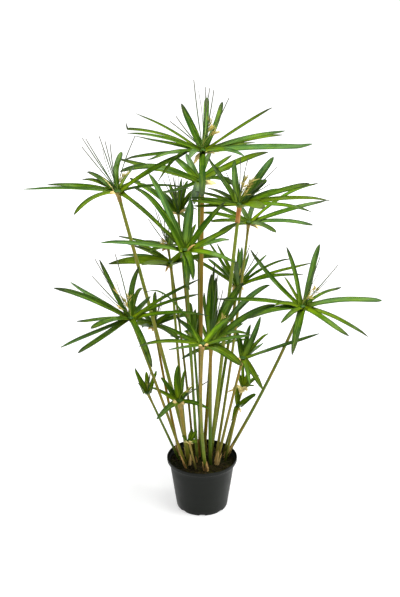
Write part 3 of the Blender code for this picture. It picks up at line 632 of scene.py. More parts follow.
def leaf_finish():
    """Satin green blade: lime at the crown, mid green along it, a long dull dark tip, fine ribs and veins,
    a paler midrib, dark edges, one half painted darker as the shade of its fold, and pale silvery patches
    that are a painted sheen highlight, with brown flecks. tone and cast make some leaves lime, olive,
    grey-green or deep green. The underside is greyer."""
    f = Finish("leaf_green", 0.38, 0.14, (0.75, 0.95, 0.35))
    along, across, tone, cast, base, under = map(f.mark, ("along", "across", "tone", "cast", "base", "under"))
    fresh = f.ramp(
        along, (0.0, (0.2, 0.33, 0.001)), (0.2, (0.14, 0.295, 0.002)), (0.48, (0.102, 0.248, 0.005)),
        (0.7, (0.068, 0.16, 0.01)), (0.86, (0.038, 0.07, 0.014)), (1.0, (0.022, 0.026, 0.014)),
    )
    deep = f.ramp(
        along, (0.0, (0.022, 0.115, 0.001)), (0.25, (0.011, 0.08, 0.002)), (0.58, (0.013, 0.062, 0.005)),
        (0.82, (0.018, 0.034, 0.01)), (1.0, (0.014, 0.015, 0.01)),
    )
    colour = f.layers(
        f.mix(f.span(tone, 0.15, 0.9), deep, fresh),
        (cast, 0.7, 0.92, 0.78, (0.105, 0.24, 0.08)),
        (cast, 0.28, 0.08, 0.6, (0.098, 0.122, 0.002)),
        (f.noise(16.0), 0.44, 0.68, 0.55, (0.18, 0.315, 0.003)),
    )
    plain = f.span(tone, 0.93, 0.98, 1.0, 0.0)
    # Darker patches, and pale silvery patches that are a painted sheen highlight, on all but the lime leaves
    for scale, stretch, low, high, most, paint in (
        (11.0, (1.0, 1.0, 1.4), 0.54, 0.68, 0.65, (0.009, 0.055, 0.001)),
        (13.0, (1.0, 1.3, 0.8), 0.57, 0.72, 0.6, (0.25, 0.4, 0.165)),
    ):
        patch = f.span(f.noise(scale, 2.0, stretch=stretch), low, high, 0.0, most)
        colour = f.mix(f.times(patch, plain), colour, paint)
    lime = f.times(base, f.span(tone, 0.0, 0.6, 0.4, 0.95))
    rib = f.math("ABSOLUTE", across)
    streak = f.math("SINE", f.times(across, 34.0))
    vein = f.node("CombineXYZ", {0: f.times(across, 3.2), 1: f.times(along, 2.5), 2: f.times(tone, 60.0)})
    veins = f.noise(1.6, 3.0, 0.65, where=vein.outputs[0])
    colour = f.layers(
        f.mix(lime, colour, (0.24, 0.33, 0.001)),
        # painted shade: one half of each blade, past the fold of its V, is darker
        (across, -0.1, 0.2, 0.5, (0.015, 0.058, 0.002)),
        (rib, 0.14, 0.0, 0.4, (0.24, 0.34, 0.04)),
        (rib, 0.55, 0.98, 0.75, (0.008, 0.024, 0.003)),
        (veins, 0.5, 0.66, 0.6, (0.012, 0.044, 0.003)),
        (veins, 0.46, 0.34, 0.45, (0.25, 0.4, 0.02)),
        (streak, -1.0, 1.0, 0.22, (0.012, 0.04, 0.003)),
        (under, 0.0, 1.0, 0.35, (0.05, 0.115, 0.012)),
        (tone, 0.94, 1.0, 0.4, (0.17, 0.255, 0.001)),
    )
    tip = f.times(f.span(along, 0.78, 0.98, 0.0, 0.85), f.span(cast, 0.86, 0.94, 1.0, 0.35))
    colour = f.mix(tip, colour, (0.026, 0.034, 0.02))
    colour = f.layers(colour, (f.noise(140.0, 2.0), 0.7, 0.78, 0.6, (0.1, 0.07, 0.012)))
    height = f.math("ADD", f.times(streak, 0.5), f.times(f.noise(220.0, 2.0), 0.6))
    return f.finish(colour, f.noise(60.0), 0.26, 0.44, height, 0.45, 0.0004)


def stem_finish():
    """Smooth stem: olive to dry brown along it, fine lines, dark flecks, a dark foot and a tan top."""
    f = Finish("stem_skin", 0.42, 0.24, (0.95, 0.95, 0.6))
    brown, pale, top, foot = map(f.mark, ("brown", "pale", "top", "foot"))
    green = f.mix(pale, (0.034, 0.105, 0.003), (0.215, 0.29, 0.022))
    dry = f.mix(pale, (0.255, 0.148, 0.002), (0.35, 0.25, 0.065))
    patch = f.span(f.noise(7.0, stretch=(3.0, 3.0, 0.7)), 0.3, 0.7, -0.25, 0.25)
    side_patch = f.span(f.noise(90.0, 2.0, stretch=(1.0, 1.0, 0.02)), 0.35, 0.65, -0.22, 0.22)
    dryness = f.math("ADD", f.math("ADD", brown, patch), side_patch)
    line = f.noise(260.0, 2.0, stretch=(1.0, 1.0, 0.05))
    colour = f.layers(
        f.mix(dryness, green, dry),
        (line, 0.42, 0.72, 0.42, (0.03, 0.038, 0.004)),
        (f.noise(90.0, 2.0, stretch=(1.0, 1.0, 0.06)), 0.55, 0.75, 0.3, (0.27, 0.3, 0.06)),
        (foot, 0.0, 1.0, 0.62, (0.018, 0.036, 0.006)),
        (top, 0.0, 1.0, 0.45, (0.3, 0.17, 0.035)),
        (f.noise(300.0, 1.0), 0.7, 0.78, 0.6, (0.05, 0.028, 0.008)),
    )
    return f.finish(colour, f.noise(50.0), 0.34, 0.52, line, 0.4, 0.0006)


def cup_finish():
    """The cup under a crown: green, tan or rust by its tone, streaked, and green where leaves join."""
    f = Finish("cup_tan", 0.5, 0.28)
    hue = f.ramp(
        f.mark("tone"), (0.0, (0.06, 0.15, 0.006)), (0.35, (0.21, 0.22, 0.022)),
        (0.6, (0.42, 0.235, 0.06)), (1.0, (0.56, 0.185, 0.03)),
    )
    streak = f.noise(240.0, stretch=(1.0, 1.0, 0.08))
    cloud = f.noise(70.0)
    colour = f.layers(
        hue,
        (streak, 0.42, 0.7, 0.5, (0.11, 0.06, 0.012)),
        (cloud, 0.45, 0.7, 0.4, (0.52, 0.4, 0.16)),
        (f.mark("top"), 0.0, 1.0, 1.0, (0.034, 0.095, 0.004)),
    )
    return f.finish(colour, cloud, 0.42, 0.66, streak, 0.6, 0.0008)


def straw_finish(name, young, ripe, lift):
    """Dry plant matter: two straw colours mixed by a mark, clouded with a third, with fine darker lines."""
    f = Finish(name, 0.7, 0.22)
    cloud = f.noise(120.0)
    line = f.noise(500.0, 2.0, stretch=(1.0, 1.0, 0.12))
    colour = f.layers(
        f.mix(f.mark("tone"), young, ripe),
        (cloud, 0.4, 0.72, 0.5, lift),
        (line, 0.5, 0.75, 0.4, tuple(c * 0.35 for c in young)),
    )
    return f.finish(colour, cloud, 0.6, 0.85, line, 0.5, 0.0005)


def soil_finish():
    """Wet dark compost under a thin olive moss, grained at three sizes, with a few straw crumbs."""
    f = Finish("soil_dark", 0.9, 0.12)
    grain = f.noise(420.0, 4.0, 0.7)
    moss = f.ramp(
        f.noise(38.0, 5.0, 0.65), (0.3, (0.003, 0.002, 0.001)), (0.46, (0.01, 0.007, 0.001)),
        (0.6, (0.026, 0.023, 0.002)), (0.78, (0.062, 0.064, 0.005)),
    )
    colour = f.layers(
        moss,
        (f.noise(24.0, 2.0), 0.5, 0.62, 0.6, (0.01, 0.024, 0.002)),
        (grain, 0.58, 0.76, 0.6, (0.07, 0.048, 0.01)),
        (f.noise(900.0, 2.0), 0.66, 0.74, 0.7, (0.2, 0.15, 0.05)),
    )
    return f.finish(colour, grain, 0.75, 0.98, grain, 0.9, 0.002)


def pot_finish():
    """Black moulded plastic: faint flow rings, fine grain, dust, and scuffs that pale it a little."""
    f = Finish("pot_black", 0.36, 0.17)
    dust = f.span(f.noise(11.0, 5.0, 0.6), 0.4, 0.75)
    ring = f.noise(120.0, 2.0, stretch=(0.04, 0.04, 1.0))
    colour = f.layers(
        f.mix(dust, (0.0022, 0.0038, 0.0019), (0.0052, 0.0075, 0.0044)),
        (ring, 0.5, 0.8, 0.4, (0.0062, 0.0088, 0.0054)),
        (f.noise(60.0, 6.0, 0.75, (1.0, 1.0, 0.35)), 0.64, 0.74, 0.4, (0.024, 0.026, 0.019)),
    )
    height = f.math("ADD", f.times(f.noise(900.0, 2.0), 0.5), ring)
    return f.finish(colour, f.noise(24.0, 4.0), 0.33, 0.5, height, 0.14, 0.0008)


def leaf_stations():
    """Shares of a leaf's length, from just inside the crown to the tip, closer together at both ends."""
    t = shares(LEAF_RINGS)
    return -0.02 + 1.02 * (0.62 * t + 0.38 * (1.0 - np.cos(math.pi * t)) / 2.0)


def leaf_rings(name, crown, tips, arch, width, rng):
    """Folded blades. The middle line is straight from seat to tip, plus a parabolic arch, a slight sideways
    wave, and where the tables say so a bow, or a turn past a share of its length. The half width rises from
    the crown, holds, then narrows to a point, plus a broad base that dies away within some 20 mm. Across it
    the blade is a shallow V with rounded arms, and its wall thins to the edges."""
    count = len(tips)
    t = leaf_stations()
    seat = crown + unit(tips * LEVEL) * LEAF_SEAT
    run = crown + tips - seat
    side = unit(np.cross(tips, LEAF_FACING))[:, None]
    length = np.linalg.norm(run, axis=1)[:, None, None]
    sway = rng.uniform(-0.008, 0.008, (count, 1, 1)) * length
    wave = sway * np.sin(math.tau * t * rng.uniform(0.5, 0.9, (count, 1, 1)))
    middle = seat[:, None] + run[:, None] * t + UP * arch[:, None, None] * 4.0 * t * (1.0 - t)
    middle = middle + side * wave * (1.0 - t ** 4)
    turn_start = rng.uniform(0.72, 0.95, (count, 1, 1))
    turn_shift = rng.normal(0.0, 1.0, (count, 1, 3)) * vec(1.5, 1.5, 1.8)
    bow = np.zeros((count, 1, 3))
    blunt = np.where(rng.uniform(0.0, 1.0, (count, 1)) < 0.18, 11.0, rng.uniform(2.6, 6.5, (count, 1)))
    fullness = np.full((count, 1), LEAF_FULLNESS * SHOOT_FULLNESS.get(name, 1.0))
    for leaf, share, shift in LEAF_TURNS.get(name, ()):
        turn_start[leaf], turn_shift[leaf] = share, shift
    for leaf, shift in LEAF_BOWS.get(name, ()):
        bow[leaf] = shift
    for leaf, share, hold in LEAF_SHAPES.get(name, ()):
        fullness[leaf] *= share
        blunt[leaf] = hold
    middle = middle + turn_shift * np.clip((t - turn_start) / (1.0 - turn_start), 0.0, 1.0)
    middle = middle + bow * np.sin(math.pi * np.clip(t, 0.0, 1.0))
    along = unit(np.gradient(middle, axis=1))
    upper = unit(np.cross(np.broadcast_to(side, along.shape), along))
    across_way = unit(np.cross(along, upper))
    twist = rng.normal(0.0, 0.22, (count, 1, 1)) * t
    turned_across = across_way * np.cos(twist) + upper * np.sin(twist)
    turned_upper = upper * np.cos(twist) - across_way * np.sin(twist)
    t, length = t[..., 0], length[..., 0]
    distance = np.maximum(t, 0.0) * length
    taper = (0.62 + 0.38 * ease(t / 0.36)) * np.clip(1.0 - np.clip(t, 0.0, 1.0) ** blunt, 0.0, 1.0) ** 0.62
    base = rng.uniform(1.2, 4.2, (count, 1)) * np.exp(-(distance / 22.0) ** 2)
    half = np.maximum(width[:, None] / 2.0 * fullness * taper + base, 1.1)
    top = vec(-1.0, -0.78, -0.5, -0.22, 0.0, 0.22, 0.5, 0.78, 1.0)
    low = vec(0.7, 0.34, 0.0, -0.34, -0.7)
    across = np.concatenate([top, low])
    under = np.repeat((0.0, 1.0), (len(top), len(low)))
    wall = under * (0.18 + 0.3 * (1.0 - np.abs(across)))
    sink = half * rng.uniform(0.75, 1.25, (count, 1)) * LEAF_FOLD * 2.0 * ease(1.15 - t * 0.7)
    drop = sink[..., None] * (1.0 - np.abs(across) ** 1.25) + wall * np.minimum(1.0, half / 1.2)[..., None]
    rings = middle[:, :, None] + turned_across[:, :, None] * (half[..., None] * across)[..., None]
    marks = {
        "along": (t * np.clip(length / 125.0, 0.5, 1.0))[..., None],
        "across": across,
        "base": np.exp(-distance / 24.0)[..., None],
        "under": under,
    }
    return rings - turned_upper[:, :, None] * drop[..., None], marks


def settled(node, crown, tips):
    """Tips as the solids have them: each moves by the whole sways that bring it to a corner of its node."""
    corners = np.empty(len(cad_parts[node].data.vertices) * 3)
    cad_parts[node].data.vertices.foreach_get("co", corners)
    corners = corners.reshape(-1, 3) / MM
    moved = tips[:, None] + SWAY * np.arange(-SWAY_STEPS, SWAY_STEPS + 1)[:, None]
    miss = np.linalg.norm((crown + moved)[:, :, None] - corners, axis=-1).min(axis=-1)
    return moved[np.arange(len(tips)), miss.argmin(axis=1)]


def make_foliage(name, shoot, finish):
    """A crown of leaves, each with its own tone and cast of green."""
    rng = rng_of(name)
    node = "leaves_" + name
    rows = vec(*shoot["leaves"])
    crown = vec(*shoot["crown"])
    tips = settled(node, crown, rows[:, :3])
    rings, marks = leaf_rings(name, crown, tips, rows[:, 3], rows[:, 4], rng)
    tones = rng.uniform((0.1, 0.0), (0.9, 1.0), (len(rows), 2))
    for look, leaves in LEAF_LOOKS.items():
        tones[list(leaves.get(name, ()))] = LOOK_TONES[look]
    marks["tone"], marks["cast"] = tones.T[..., None, None]
    ring_piece("foliage_" + name, rings, finish, "leaf", [node], **marks)


def stem_line(shoot, t):
    """The stem's middle line: straight from soil to crown plus a parabolic bow, and straight on below."""
    foot = vec(*shoot["foot"], SOIL_TOP)
    run = vec(*shoot["crown"]) - foot
    bow = vec(*shoot.get("bow", (0.0, 0.0)), 0.0)
    above = np.maximum(t, 0.0)[:, None]
    below = np.minimum(t, 0.0)[:, None]
    return foot + run * above + bow * 4.0 * above * (1.0 - above) + (run + 4.0 * bow) * below


def make_cup(name, shoot, finish):
    """The cup that the leaves grow from: a turned funnel that opens under the crown and closes in a low
    dome. Its wall has five shallow lobes, and it leans as the stem does."""
    tone, reach, wide = CUPS[name]
    crown = vec(*shoot["crown"])
    base = shoot["thick"] / 2.0 * 0.86 * STEM_FLARE
    height = np.concatenate([np.linspace(-reach, 0.5, 12), (2.6, 3.8)])
    opening = min(reach, 17.0)
    radius = base * 0.93 + 0.35 + (wide - base) * np.clip((height + opening) / opening, 0.0, 1.0) ** 2.2
    radius[-2:] = (wide * 0.72, wide * 0.36)
    profile = np.concatenate([[[0.0, -reach - 0.3]], np.stack([radius, height], axis=1), [[0.0, 4.2]]])
    turn = rng_of(name, 9).uniform(0.0, math.tau)

    def lobed(radii, angle, heights):
        share = np.clip((heights + 8.0) / 8.0, 0.0, 1.0)
        return radii * (1.0 + 0.09 * share * np.cos(5.0 * angle + turn)), heights

    points, faces = turned(profile, CUP_SIDES, lobed)
    top = np.clip((points[:, 2] + 4.0) / 4.5, 0.0, 1.0)
    t = 1.0 + np.minimum(points[:, 2], 0.0) / (crown[2] - SOIL_TOP)
    points = points + crown + (stem_line(shoot, t) - crown) * LEVEL
    piece("cup_" + name, (points, faces), finish, "stem", tone=np.full(len(points), tone), top=top)


def make_stem(name, shoot, finish):
    """A bare stem: a tube that swells a little on three sides, tapers, and flares under the crown."""
    crown_height = shoot["crown"][2] - SOIL_TOP
    last = 1.0 - (HUB_DROP + 0.3) / crown_height
    t = np.concatenate([[-ROOT_DEPTH / crown_height], np.linspace(0.0, last, STEM_RINGS)])
    path = stem_line(shoot, t)
    height = path[:, 2] - SOIL_TOP
    left = crown_height * last - height
    taper = 1.0 - 0.14 * np.clip(t, 0.0, 1.0)
    radius = shoot["thick"] / 2.0 * taper * (1.0 + (STEM_FLARE - 1.0) * ease(1.0 - left / 26.0))
    lobes = 1.0 + 0.055 * np.cos(3.0 * bearings(STEM_SIDES))
    middle = path[None, :, None]
    rings = middle + (tube_rings(path[None], radius[None], STEM_SIDES) - middle) * lobes[:, None]
    brown_top, brown_low, pale = STEM_HUES[name]
    brown = brown_low + (brown_top - brown_low) * ease(height / crown_height * 1.5 - 0.3)
    ring_piece(
        "stalk_" + name, rings, finish, "stem", ["stem_" + name], pale=pale, brown=brown[:, None],
        top=ease(1.0 - left / 20.0)[:, None], foot=ease(1.0 - height / 60.0)[:, None],
    )


def blade_rings(middle, side, half, cup, wall):
    """Thin cupped blades: along a middle line the section runs across by the half width, sinks by cup times
    that at its middle, and comes back a wall's thickness lower."""
    along = unit(np.gradient(middle, axis=1))
    side = unit(side - along * (side * along).sum(axis=-1, keepdims=True))
    upper = np.cross(side, along)
    across = vec(-1.0, -0.6, -0.2, 0.2, 0.6, 1.0, 0.6, 0.2, -0.2, -0.6)
    lower = np.repeat((0.0, 1.0), (6, 4))
    sink = half[..., None] * (1.0 - across ** 2) * cup + lower * wall
    rings = middle[:, :, None] + side[:, :, None] * (half[..., None] * across)[..., None]
    return rings - upper[:, :, None] * sink[..., None]


def make_scales(name, shoot, finish):
    """Papery scales under a crown: pointed cupped blades that leave the stem's top, rise and turn out."""
    crown = vec(*shoot["crown"])
    rows = vec(*SCALES[name])
    tips, width, rust = rows[:, :3], rows[:, 3:4], rows[:, 4]
    t = shares(14)
    seat = crown + unit(tips * LEVEL) * shoot["thick"] * 0.35 - UP * 5.0
    run = crown + tips - seat
    middle = seat[:, None] + run[:, None] * t + UP * 3.5 * np.sin(math.pi * t)
    side = np.cross(np.broadcast_to(vec(0.1, -0.45, 1.0), middle.shape), unit(np.gradient(middle, axis=1)))
    t = t[..., 0]
    half = width / 2.0 * np.maximum(np.sin(math.pi * (0.16 + 0.83 * t)) ** 0.8, 0.03)
    half = half * (1.0 + 0.1 * np.sin(t * rng_of(name, 7).uniform(14.0, 22.0, (len(rows), 1))))
    rings = blade_rings(middle, side, half, 0.35, 0.25)
    ring_piece("scales_" + name, rings, finish, "tuft", crease=70.0, tone=rust[:, None, None])


def make_rays(name, shoot, finish):
    """A tuft's rays: hair-fine tapered tubes to the tips of the solid's rays, and a few shorter ones."""
    rng = rng_of(name, 3)
    node = "tuft_" + name
    crown = vec(*shoot["crown"])
    seat = crown + UP * (RAY_START - 6.0)
    tips = settled(node, crown, vec(*shoot["rays"]))
    pick, mate = (rng.integers(0, len(tips), SHORT_RAYS) for end in range(2))
    share = rng.uniform(0.0, 1.0, (SHORT_RAYS, 1))
    between = tips[pick] * share + tips[mate] * (1.0 - share)
    between = between * rng.uniform(0.5, 0.95, (SHORT_RAYS, 1))
    between = between + rng.normal(0.0, 5.0, (SHORT_RAYS, 3)) * vec(1.0, 1.0, 0.2)
    run = crown + np.concatenate([tips, between]) - seat
    t = shares(12)
    sag = rng.normal(0.0, 0.016, (len(run), 1, 3)) * LEVEL * np.linalg.norm(run, axis=1)[:, None, None]
    paths = seat + run[:, None] * t + sag * np.sin(math.pi * t)
    thick = np.repeat((RAY_THICK, SHORT_RAY_THICK), (len(tips), SHORT_RAYS))[:, None]
    radii = thick * (1.0 - 0.35 * t[..., 0] ** 2.0) * (0.45 + 0.55 * ease(t[..., 0] * 2.0))
    ring_piece("rays_" + name, tube_rings(paths, radii, RAY_SIDES), finish, "tuft", [node], tone=t ** 1.5)


def make_flowers(name, shoot, finish):
    """Flower heads: a thin curved branch from the crown to each head's place, ending in spindle-shaped
    spikelets that stand mostly upwards round its end."""
    rng = rng_of(name, 4)
    seat = vec(*shoot["crown"]) + UP * 2.0
    rows = vec(*FLOWER_HEADS[name])
    heads = vec(*shoot["crown"]) + rows[:, :3]
    t = shares(10)
    bend = (heads - seat) * LEVEL * 0.5
    branches = seat + (heads - seat)[:, None] * t - bend[:, None] * 0.6 * np.sin(math.pi * t)
    girth = np.broadcast_to(0.75 - 0.25 * t[..., 0], branches.shape[:2])
    shapes = [skin(tube_rings(branches, girth, SPIKELET_SIDES))]
    tones = [np.full(len(shapes[0][0]), 0.15)]
    way = unit(heads - branches[:, -3])
    k = shares(SPIKELET_RINGS)
    belly = np.maximum(np.sin(math.pi * (k[..., 0] * 0.9 + 0.07)) ** 0.8, 0.08)
    for head, up, amount, tone in zip(heads, way, rows[:, 3].astype(int), rows[:, 4]):
        turn = rng.uniform(0.0, math.tau, amount)[:, None]
        lean = rng.uniform(0.1, 0.85, amount)[:, None]
        across = unit(np.cross(up, vec(0.3, 1.0, 0.1)))
        aside = np.cos(turn) * across + np.sin(turn) * np.cross(up, across)
        out = np.cos(lean) * up + np.sin(lean) * aside
        root = head - up * rng.uniform(0.0, 13.0, (amount, 1)) + aside * rng.uniform(0.0, 2.0, (amount, 1))
        size = rng.uniform(8.0, 16.0, (amount, 1, 1))
        spikes = root[:, None] + out[:, None] * size * k + up * size * 0.12 * k ** 2
        thick = rng.uniform(0.9, 1.5, (amount, 1)) * belly
        shapes.append(skin(tube_rings(spikes, thick, SPIKELET_SIDES, 0.65)))
        ripe = np.clip(tone + rng.normal(0.0, 0.18, amount), 0.0, 1.0)
        tones.append(np.repeat(ripe, SPIKELET_RINGS * SPIKELET_SIDES))
    piece("flowers_" + name, gather(shapes), finish, "tuft", crease=60.0, tone=np.concatenate(tones))


def make_foot_strips(finish):
    """Dry strips of old sheath round the stems' feet: pointed blades that wrap part of the stem, follow it,
    and peel outwards towards the tip."""
    shapes, tones = [], []
    t = shares(14)[..., 0]
    for name, (count, tall, tone) in FOOT_STRIPS.items():
        shoot = SHOOTS[name]
        rng = rng_of(name, 5)
        girth = shoot["thick"] / 2.0
        turn = rng.uniform(-0.5, 0.5) - math.pi / 2.0 + bearings(count)[:, None]
        high = tall * rng.uniform(0.55, 1.0, (count, 1))
        high[0] = tall
        height = -4.0 + (high + 4.0) * t
        centre = stem_line(shoot, height.ravel() / (shoot["crown"][2] - SOIL_TOP)).reshape(count, -1, 3)
        drift = turn + rng.normal(0.0, 0.5, (count, 1)) * t
        way = np.stack([np.cos(drift), np.sin(drift), np.zeros_like(drift)], axis=-1)
        peel = rng.uniform(0.3, 5.0, (count, 1)) * t ** 3.5
        middle = centre + way * (girth * 1.14 + 0.5 + peel)[..., None]
        half = girth * rng.uniform(0.75, 1.1, (count, 1)) * np.maximum((1.0 - t ** 2.2) ** 0.8, 0.04)
        half = half * (1.0 + 0.12 * np.sin(t * 17.0 + rng.uniform(0.0, 6.0, (count, 1))))
        rings = blade_rings(middle, np.cross(UP, way), half, -0.62, 0.3)
        shapes.append(skin(rings))
        tones.append(tone + np.repeat(rng.normal(0.0, 0.1, count), rings[0, ..., 0].size))
    tone = np.clip(np.concatenate(tones), 0.0, 1.0)
    piece("foot_strips", gather(shapes), finish, "tuft", crease=70.0, tone=tone)


def outer_radius(height):
    """The pot body's outer radius at a height: a straight taper from foot to collar."""
    return POT_BASE_RADIUS + (POT_BODY_RADIUS - POT_BASE_RADIUS) * height / POT_HEIGHT


def soil_height(x, y):
    """The soil's surface: a low dome, and on it sine waves in random directions, each shorter and lower
    than the one before."""
    rng = np.random.default_rng(11)
    ground = 0.0
    for i in range(GROUND_WAVES):
        turn, phase = rng.uniform(0.0, math.tau, 2)
        crossed = (x * math.cos(turn) + y * math.sin(turn)) / (LONGEST_WAVE * 0.8 ** i)
        ground = ground + 0.62 ** (i * 0.5) * np.sin(math.tau * crossed + phase)
    far = np.sqrt(x * x + y * y) / (outer_radius(SOIL_TOP) - POT_WALL)
    return SOIL_TOP + SOIL_CROWN * (1.0 - far ** 2) - 1.5 + 0.75 * ground * (1.0 - 0.6 * far ** 8)


def make_soil(finish):
    """The soil as a turned solid with close rings on its top, whose heights follow the uneven ground."""
    edge = outer_radius(SOIL_TOP) - POT_WALL - SOIL_GAP
    low = POT_FLOOR + SOIL_GAP
    profile = [(0.0, low), (outer_radius(low) - POT_WALL - SOIL_GAP, low), (edge - 0.4, SOIL_TOP - 8.0)]
    profile += [(r, SOIL_TOP) for r in np.linspace(edge, 0.8, SOIL_RINGS)] + [(0.0, SOIL_TOP)]

    def bump(radius, angle, height):
        height[3:] = soil_height(radius * np.cos(angle), radius * np.sin(angle))[3:]
        return radius, height

    piece("soil_bed", turned(profile, SOIL_SIDES, bump), finish, "soil", ["soil"], 80.0)


def strewn(rng, count, reach, lift):
    """Places strewn evenly on the soil: the distance from its middle is the root of a chance share."""
    far = reach * np.sqrt(rng.uniform(0.0, 1.0, count))
    turn = rng.uniform(0.0, math.tau, count)
    x, y = far * np.cos(turn), far * np.sin(turn)
    return np.stack([x, y, soil_height(x, y) + lift], axis=1)


def make_crumbs(finish):
    """Crumbs of compost and bark: lumps between two squashed and turned rings of six corners."""
    rng = np.random.default_rng(23)
    centre = strewn(rng, CRUMBS, 74.0, 0.2)
    size = rng.gamma(3.0, 0.42, CRUMBS)[:, None, None] * rng.uniform(0.55, 1.3, (CRUMBS, 1, 3))
    angle = (bearings(6) + rng.uniform(0.0, 1.0, (CRUMBS, 1)))[:, None]
    wide = rng.uniform(0.7, 1.0, (CRUMBS, 2, 6))
    level = np.broadcast_to(vec(-0.55, 0.55)[:, None], wide.shape)
    ring = np.stack([wide * np.cos(angle), wide * np.sin(angle), level], axis=-1)
    tone = rng.uniform(0.0, 1.0, (CRUMBS, 1, 1))
    rings = centre[:, None, None] + ring * size[:, :, None]
    ring_piece("soil_crumbs", rings, finish, "soil", (), 30.0, tone=tone)


def make_moss(finish):
    """Moss and dry fibres: short bent threads that stand or lie on the soil, inside the pot."""
    rng = np.random.default_rng(31)
    seat = strewn(rng, THREADS, 75.0, -0.3)[:, None]
    lean = rng.uniform(0.1, 1.45, THREADS)
    turn = rng.uniform(0.0, math.tau, THREADS)
    way = np.stack([np.sin(lean) * np.cos(turn), np.sin(lean) * np.sin(turn), np.cos(lean)], axis=1)
    run = way[:, None] * rng.uniform(1.5, 4.5, (THREADS, 1, 1))
    t = shares(5)
    paths = seat + run * t + rng.normal(0.0, 0.6, (THREADS, 1, 3)) * np.sin(math.pi * t)
    far = np.linalg.norm(paths[..., :2], axis=-1, keepdims=True)
    paths[..., :2] *= SOIL_REACH / np.maximum(far, SOIL_REACH)
    radii = np.broadcast_to(0.24 * (1.0 - 0.8 * t[..., 0]), paths.shape[:2])
    tone = rng.uniform(0.0, 1.0, (THREADS, 1, 1)) ** 1.6
    ring_piece("soil_moss", tube_rings(paths, radii, 4), finish, "soil", (), 80.0, tone=tone)


def make_pot(finish):
    """The pot: a closed outline of shell, collar and rounded lip carried round the axis, with the foot's
    edge lifted at each drain notch."""
    collar = POT_HEIGHT - POT_COLLAR_DROP
    inner = POT_RIM_RADIUS - POT_WALL
    lip_radius, lip_height = POT_RIM_RADIUS - LIP_RADIUS, POT_HEIGHT - LIP_RADIUS
    profile = [(r, 0.0) for r in (0.0, UNDERSIDE_RING, POT_BASE_RADIUS - 6.0, POT_BASE_RADIUS - 4.2)]
    profile += [
        (POT_BASE_RADIUS - POT_FOOT_ROUND * (1.0 - math.sin(a)), POT_FOOT_ROUND * (1.0 - math.cos(a)))
        for a in np.linspace(0.0, math.pi / 2.0, 8)
    ]
    foot_end = len(profile)
    profile += [(outer_radius(z), z) for z in np.linspace(POT_FOOT_ROUND + 1.5, collar - 2.5, 14)]
    profile += [(outer_radius(collar) + out, collar + up) for out, up in ((0.1, -1.6), (0.6, -0.8))]
    profile += [
        (POT_RIM_RADIUS - sunk, collar + up)
        for sunk, up in ((2.2, -0.1), (1.3, 0.3), (0.7, 1.2), (0.25, 4.0), (0.05, 7.5))
    ]
    profile += [
        (lip_radius + LIP_RADIUS * math.cos(a), lip_height + LIP_RADIUS * math.sin(a))
        for a in np.linspace(0.0, math.pi, 9)
    ]
    profile += [(inner - sunk, collar + up) for sunk, up in ((0.0, 8.6), (0.4, 4.0), (1.2, 1.2), (3.6, -0.5))]
    profile += [(outer_radius(z) - POT_WALL, z) for z in np.linspace(collar - 3.0, POT_FLOOR + 2.0, 10)]
    profile += [(r, POT_FLOOR) for r in (outer_radius(POT_FLOOR) - POT_WALL - 0.6, UNDERSIDE_RING, 0.0)]
    half_notch = NOTCH_WIDTH / 2.0 / POT_BASE_RADIUS
    pitch = math.tau / NOTCH_COUNT

    def bump(radius, angle, height):
        off = np.abs((angle + math.pi / 2.0 + pitch / 2.0) % pitch - pitch / 2.0)
        lift = NOTCH_HEIGHT * ease((half_notch - off) / (half_notch * 0.3))
        height[3:foot_end] = np.maximum(height[3:foot_end], lift)
        return radius, height

    piece("pot_shell", turned(profile, POT_SIDES, bump), finish, "pot", ["pot"], 40.0)


def stage_piece(name, points, faces, tints, glow):
    """A piece of the white sweep: painted, with a white glow of its own that grows with the distance from
    the plant, where the lamps no longer reach."""
    mesh = bpy.data.meshes.new(name)
    mesh.from_pydata(points, [], faces)
    white = Finish(name, 0.9, 0.1)
    away = white.node("VectorMath", {0: white.place}, operation="LENGTH").outputs["Value"]
    white.fill(white.shader, {
        "Base Color": white.mix(white.noise(0.6, 2.0), *tints),
        "Emission Color": (1.0, 1.0, 1.0),
        "Emission Strength": white.span(away, GLOW_NEAR, GLOW_FAR, glow, FAR_GLOW),
    })
    mesh.materials.append(white.material)
    made = linked(name, mesh)
    return made


def dome_shape(radius, rings, around):
    """The inside of a half sphere: rings of points from its rim at the floor up, closed by a fan."""
    up = np.linspace(0.0, math.pi / 2.0, rings + 1)[:-1, None]
    turn = bearings(around)[None]
    grid = np.stack([np.cos(up) * np.cos(turn), np.cos(up) * np.sin(turn), np.sin(up) + 0.0 * turn], axis=-1)
    points = np.concatenate([grid.reshape(-1, 3), [UP]]) * radius
    index = np.arange(rings * around).reshape(rings, around)
    cap = np.stack([index[-1], np.full(around, rings * around), np.roll(index[-1], -1)], axis=-1)
    return points.tolist(), walls(index)[:, ::-1].tolist() + cap.tolist()


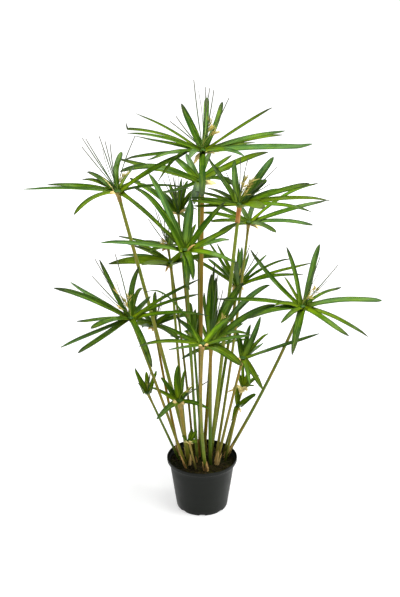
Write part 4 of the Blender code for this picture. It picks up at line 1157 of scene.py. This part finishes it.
def set_stage():
    """A white floor and dome, soft lamps behind, beside and above, and the camera."""
    s = FLOOR_HALF
    corners = [(x, y, FLOOR_HEIGHT) for x, y in ((-s, -s), (s, -s), (s, s), (-s, s))]
    stage_piece("studio_floor", corners, [(0, 1, 2, 3)], FLOOR_TINTS, FLOOR_GLOW)
    dome = stage_piece("studio_dome", *dome_shape(DOME_RADIUS, 10, 40), DOME_TINTS, FAR_GLOW)
    for light_path in ("diffuse", "glossy", "transmission", "shadow"):
        setattr(dome, "visible_" + light_path, False)

    world = bpy.data.worlds.new("studio_air")
    world.use_nodes = True
    air = world.node_tree.nodes["Background"].inputs
    air["Color"].default_value = (1.0, 1.0, 1.0, 1.0)
    air["Strength"].default_value = AIR_STRENGTH
    bpy.context.scene.world = world

    for name, place, target, size, power in LAMPS:
        light = bpy.data.lights.new(name, "AREA")
        light.shape = "DISK"
        light.size = size
        light.energy = power
        lamp = linked(name, light)
        lamp.location = place
        lamp.rotation_euler = (Vector(target) - Vector(place)).to_track_quat("-Z", "Y").to_euler()

    lens = bpy.data.cameras.new("camera")
    lens.lens = CAMERA_LENS
    lens.sensor_width = CAMERA_FRAME
    lens.clip_start = 0.05
    lens.clip_end = 60.0
    camera = linked("camera", lens)
    camera.location = CAMERA_PLACE
    camera.rotation_euler = (math.radians(90.0 - CAMERA_PITCH), 0.0, 0.0)
    bpy.context.scene.camera = camera
    bpy.context.scene.view_settings.view_transform = "Standard"


leaf = leaf_finish()
stem = stem_finish()
cup = cup_finish()
paper = straw_finish("scale_paper", (0.92, 0.8, 0.34), (0.5, 0.22, 0.055), (0.86, 0.62, 0.22))
strip = straw_finish("strip_dry", (0.8, 0.58, 0.22), (0.36, 0.13, 0.018), (0.62, 0.38, 0.11))
hair = straw_finish("ray_grey", (0.036, 0.11, 0.006), (0.11, 0.1, 0.08), (0.06, 0.058, 0.03))
flower = straw_finish("spikelet_straw", (0.17, 0.26, 0.03), (0.66, 0.5, 0.14), (0.42, 0.36, 0.11))
crumb = straw_finish("crumb_brown", (0.008, 0.005, 0.002), (0.05, 0.03, 0.008), (0.014, 0.01, 0.002))
moss = straw_finish("moss_olive", (0.022, 0.03, 0.003), (0.12, 0.09, 0.025), (0.045, 0.05, 0.005))

set_stage()
make_pot(pot_finish())
make_soil(soil_finish())
make_crumbs(crumb)
make_moss(moss)
make_foot_strips(strip)
for name, shoot in SHOOTS.items():
    make_stem(name, shoot, stem)
    make_foliage(name, shoot, leaf)
    make_cup(name, shoot, cup)
    if name in SCALES:
        make_scales(name, shoot, paper)
    if "rays" in shoot:
        make_rays(name, shoot, hair)
        make_flowers(name, shoot, flower)
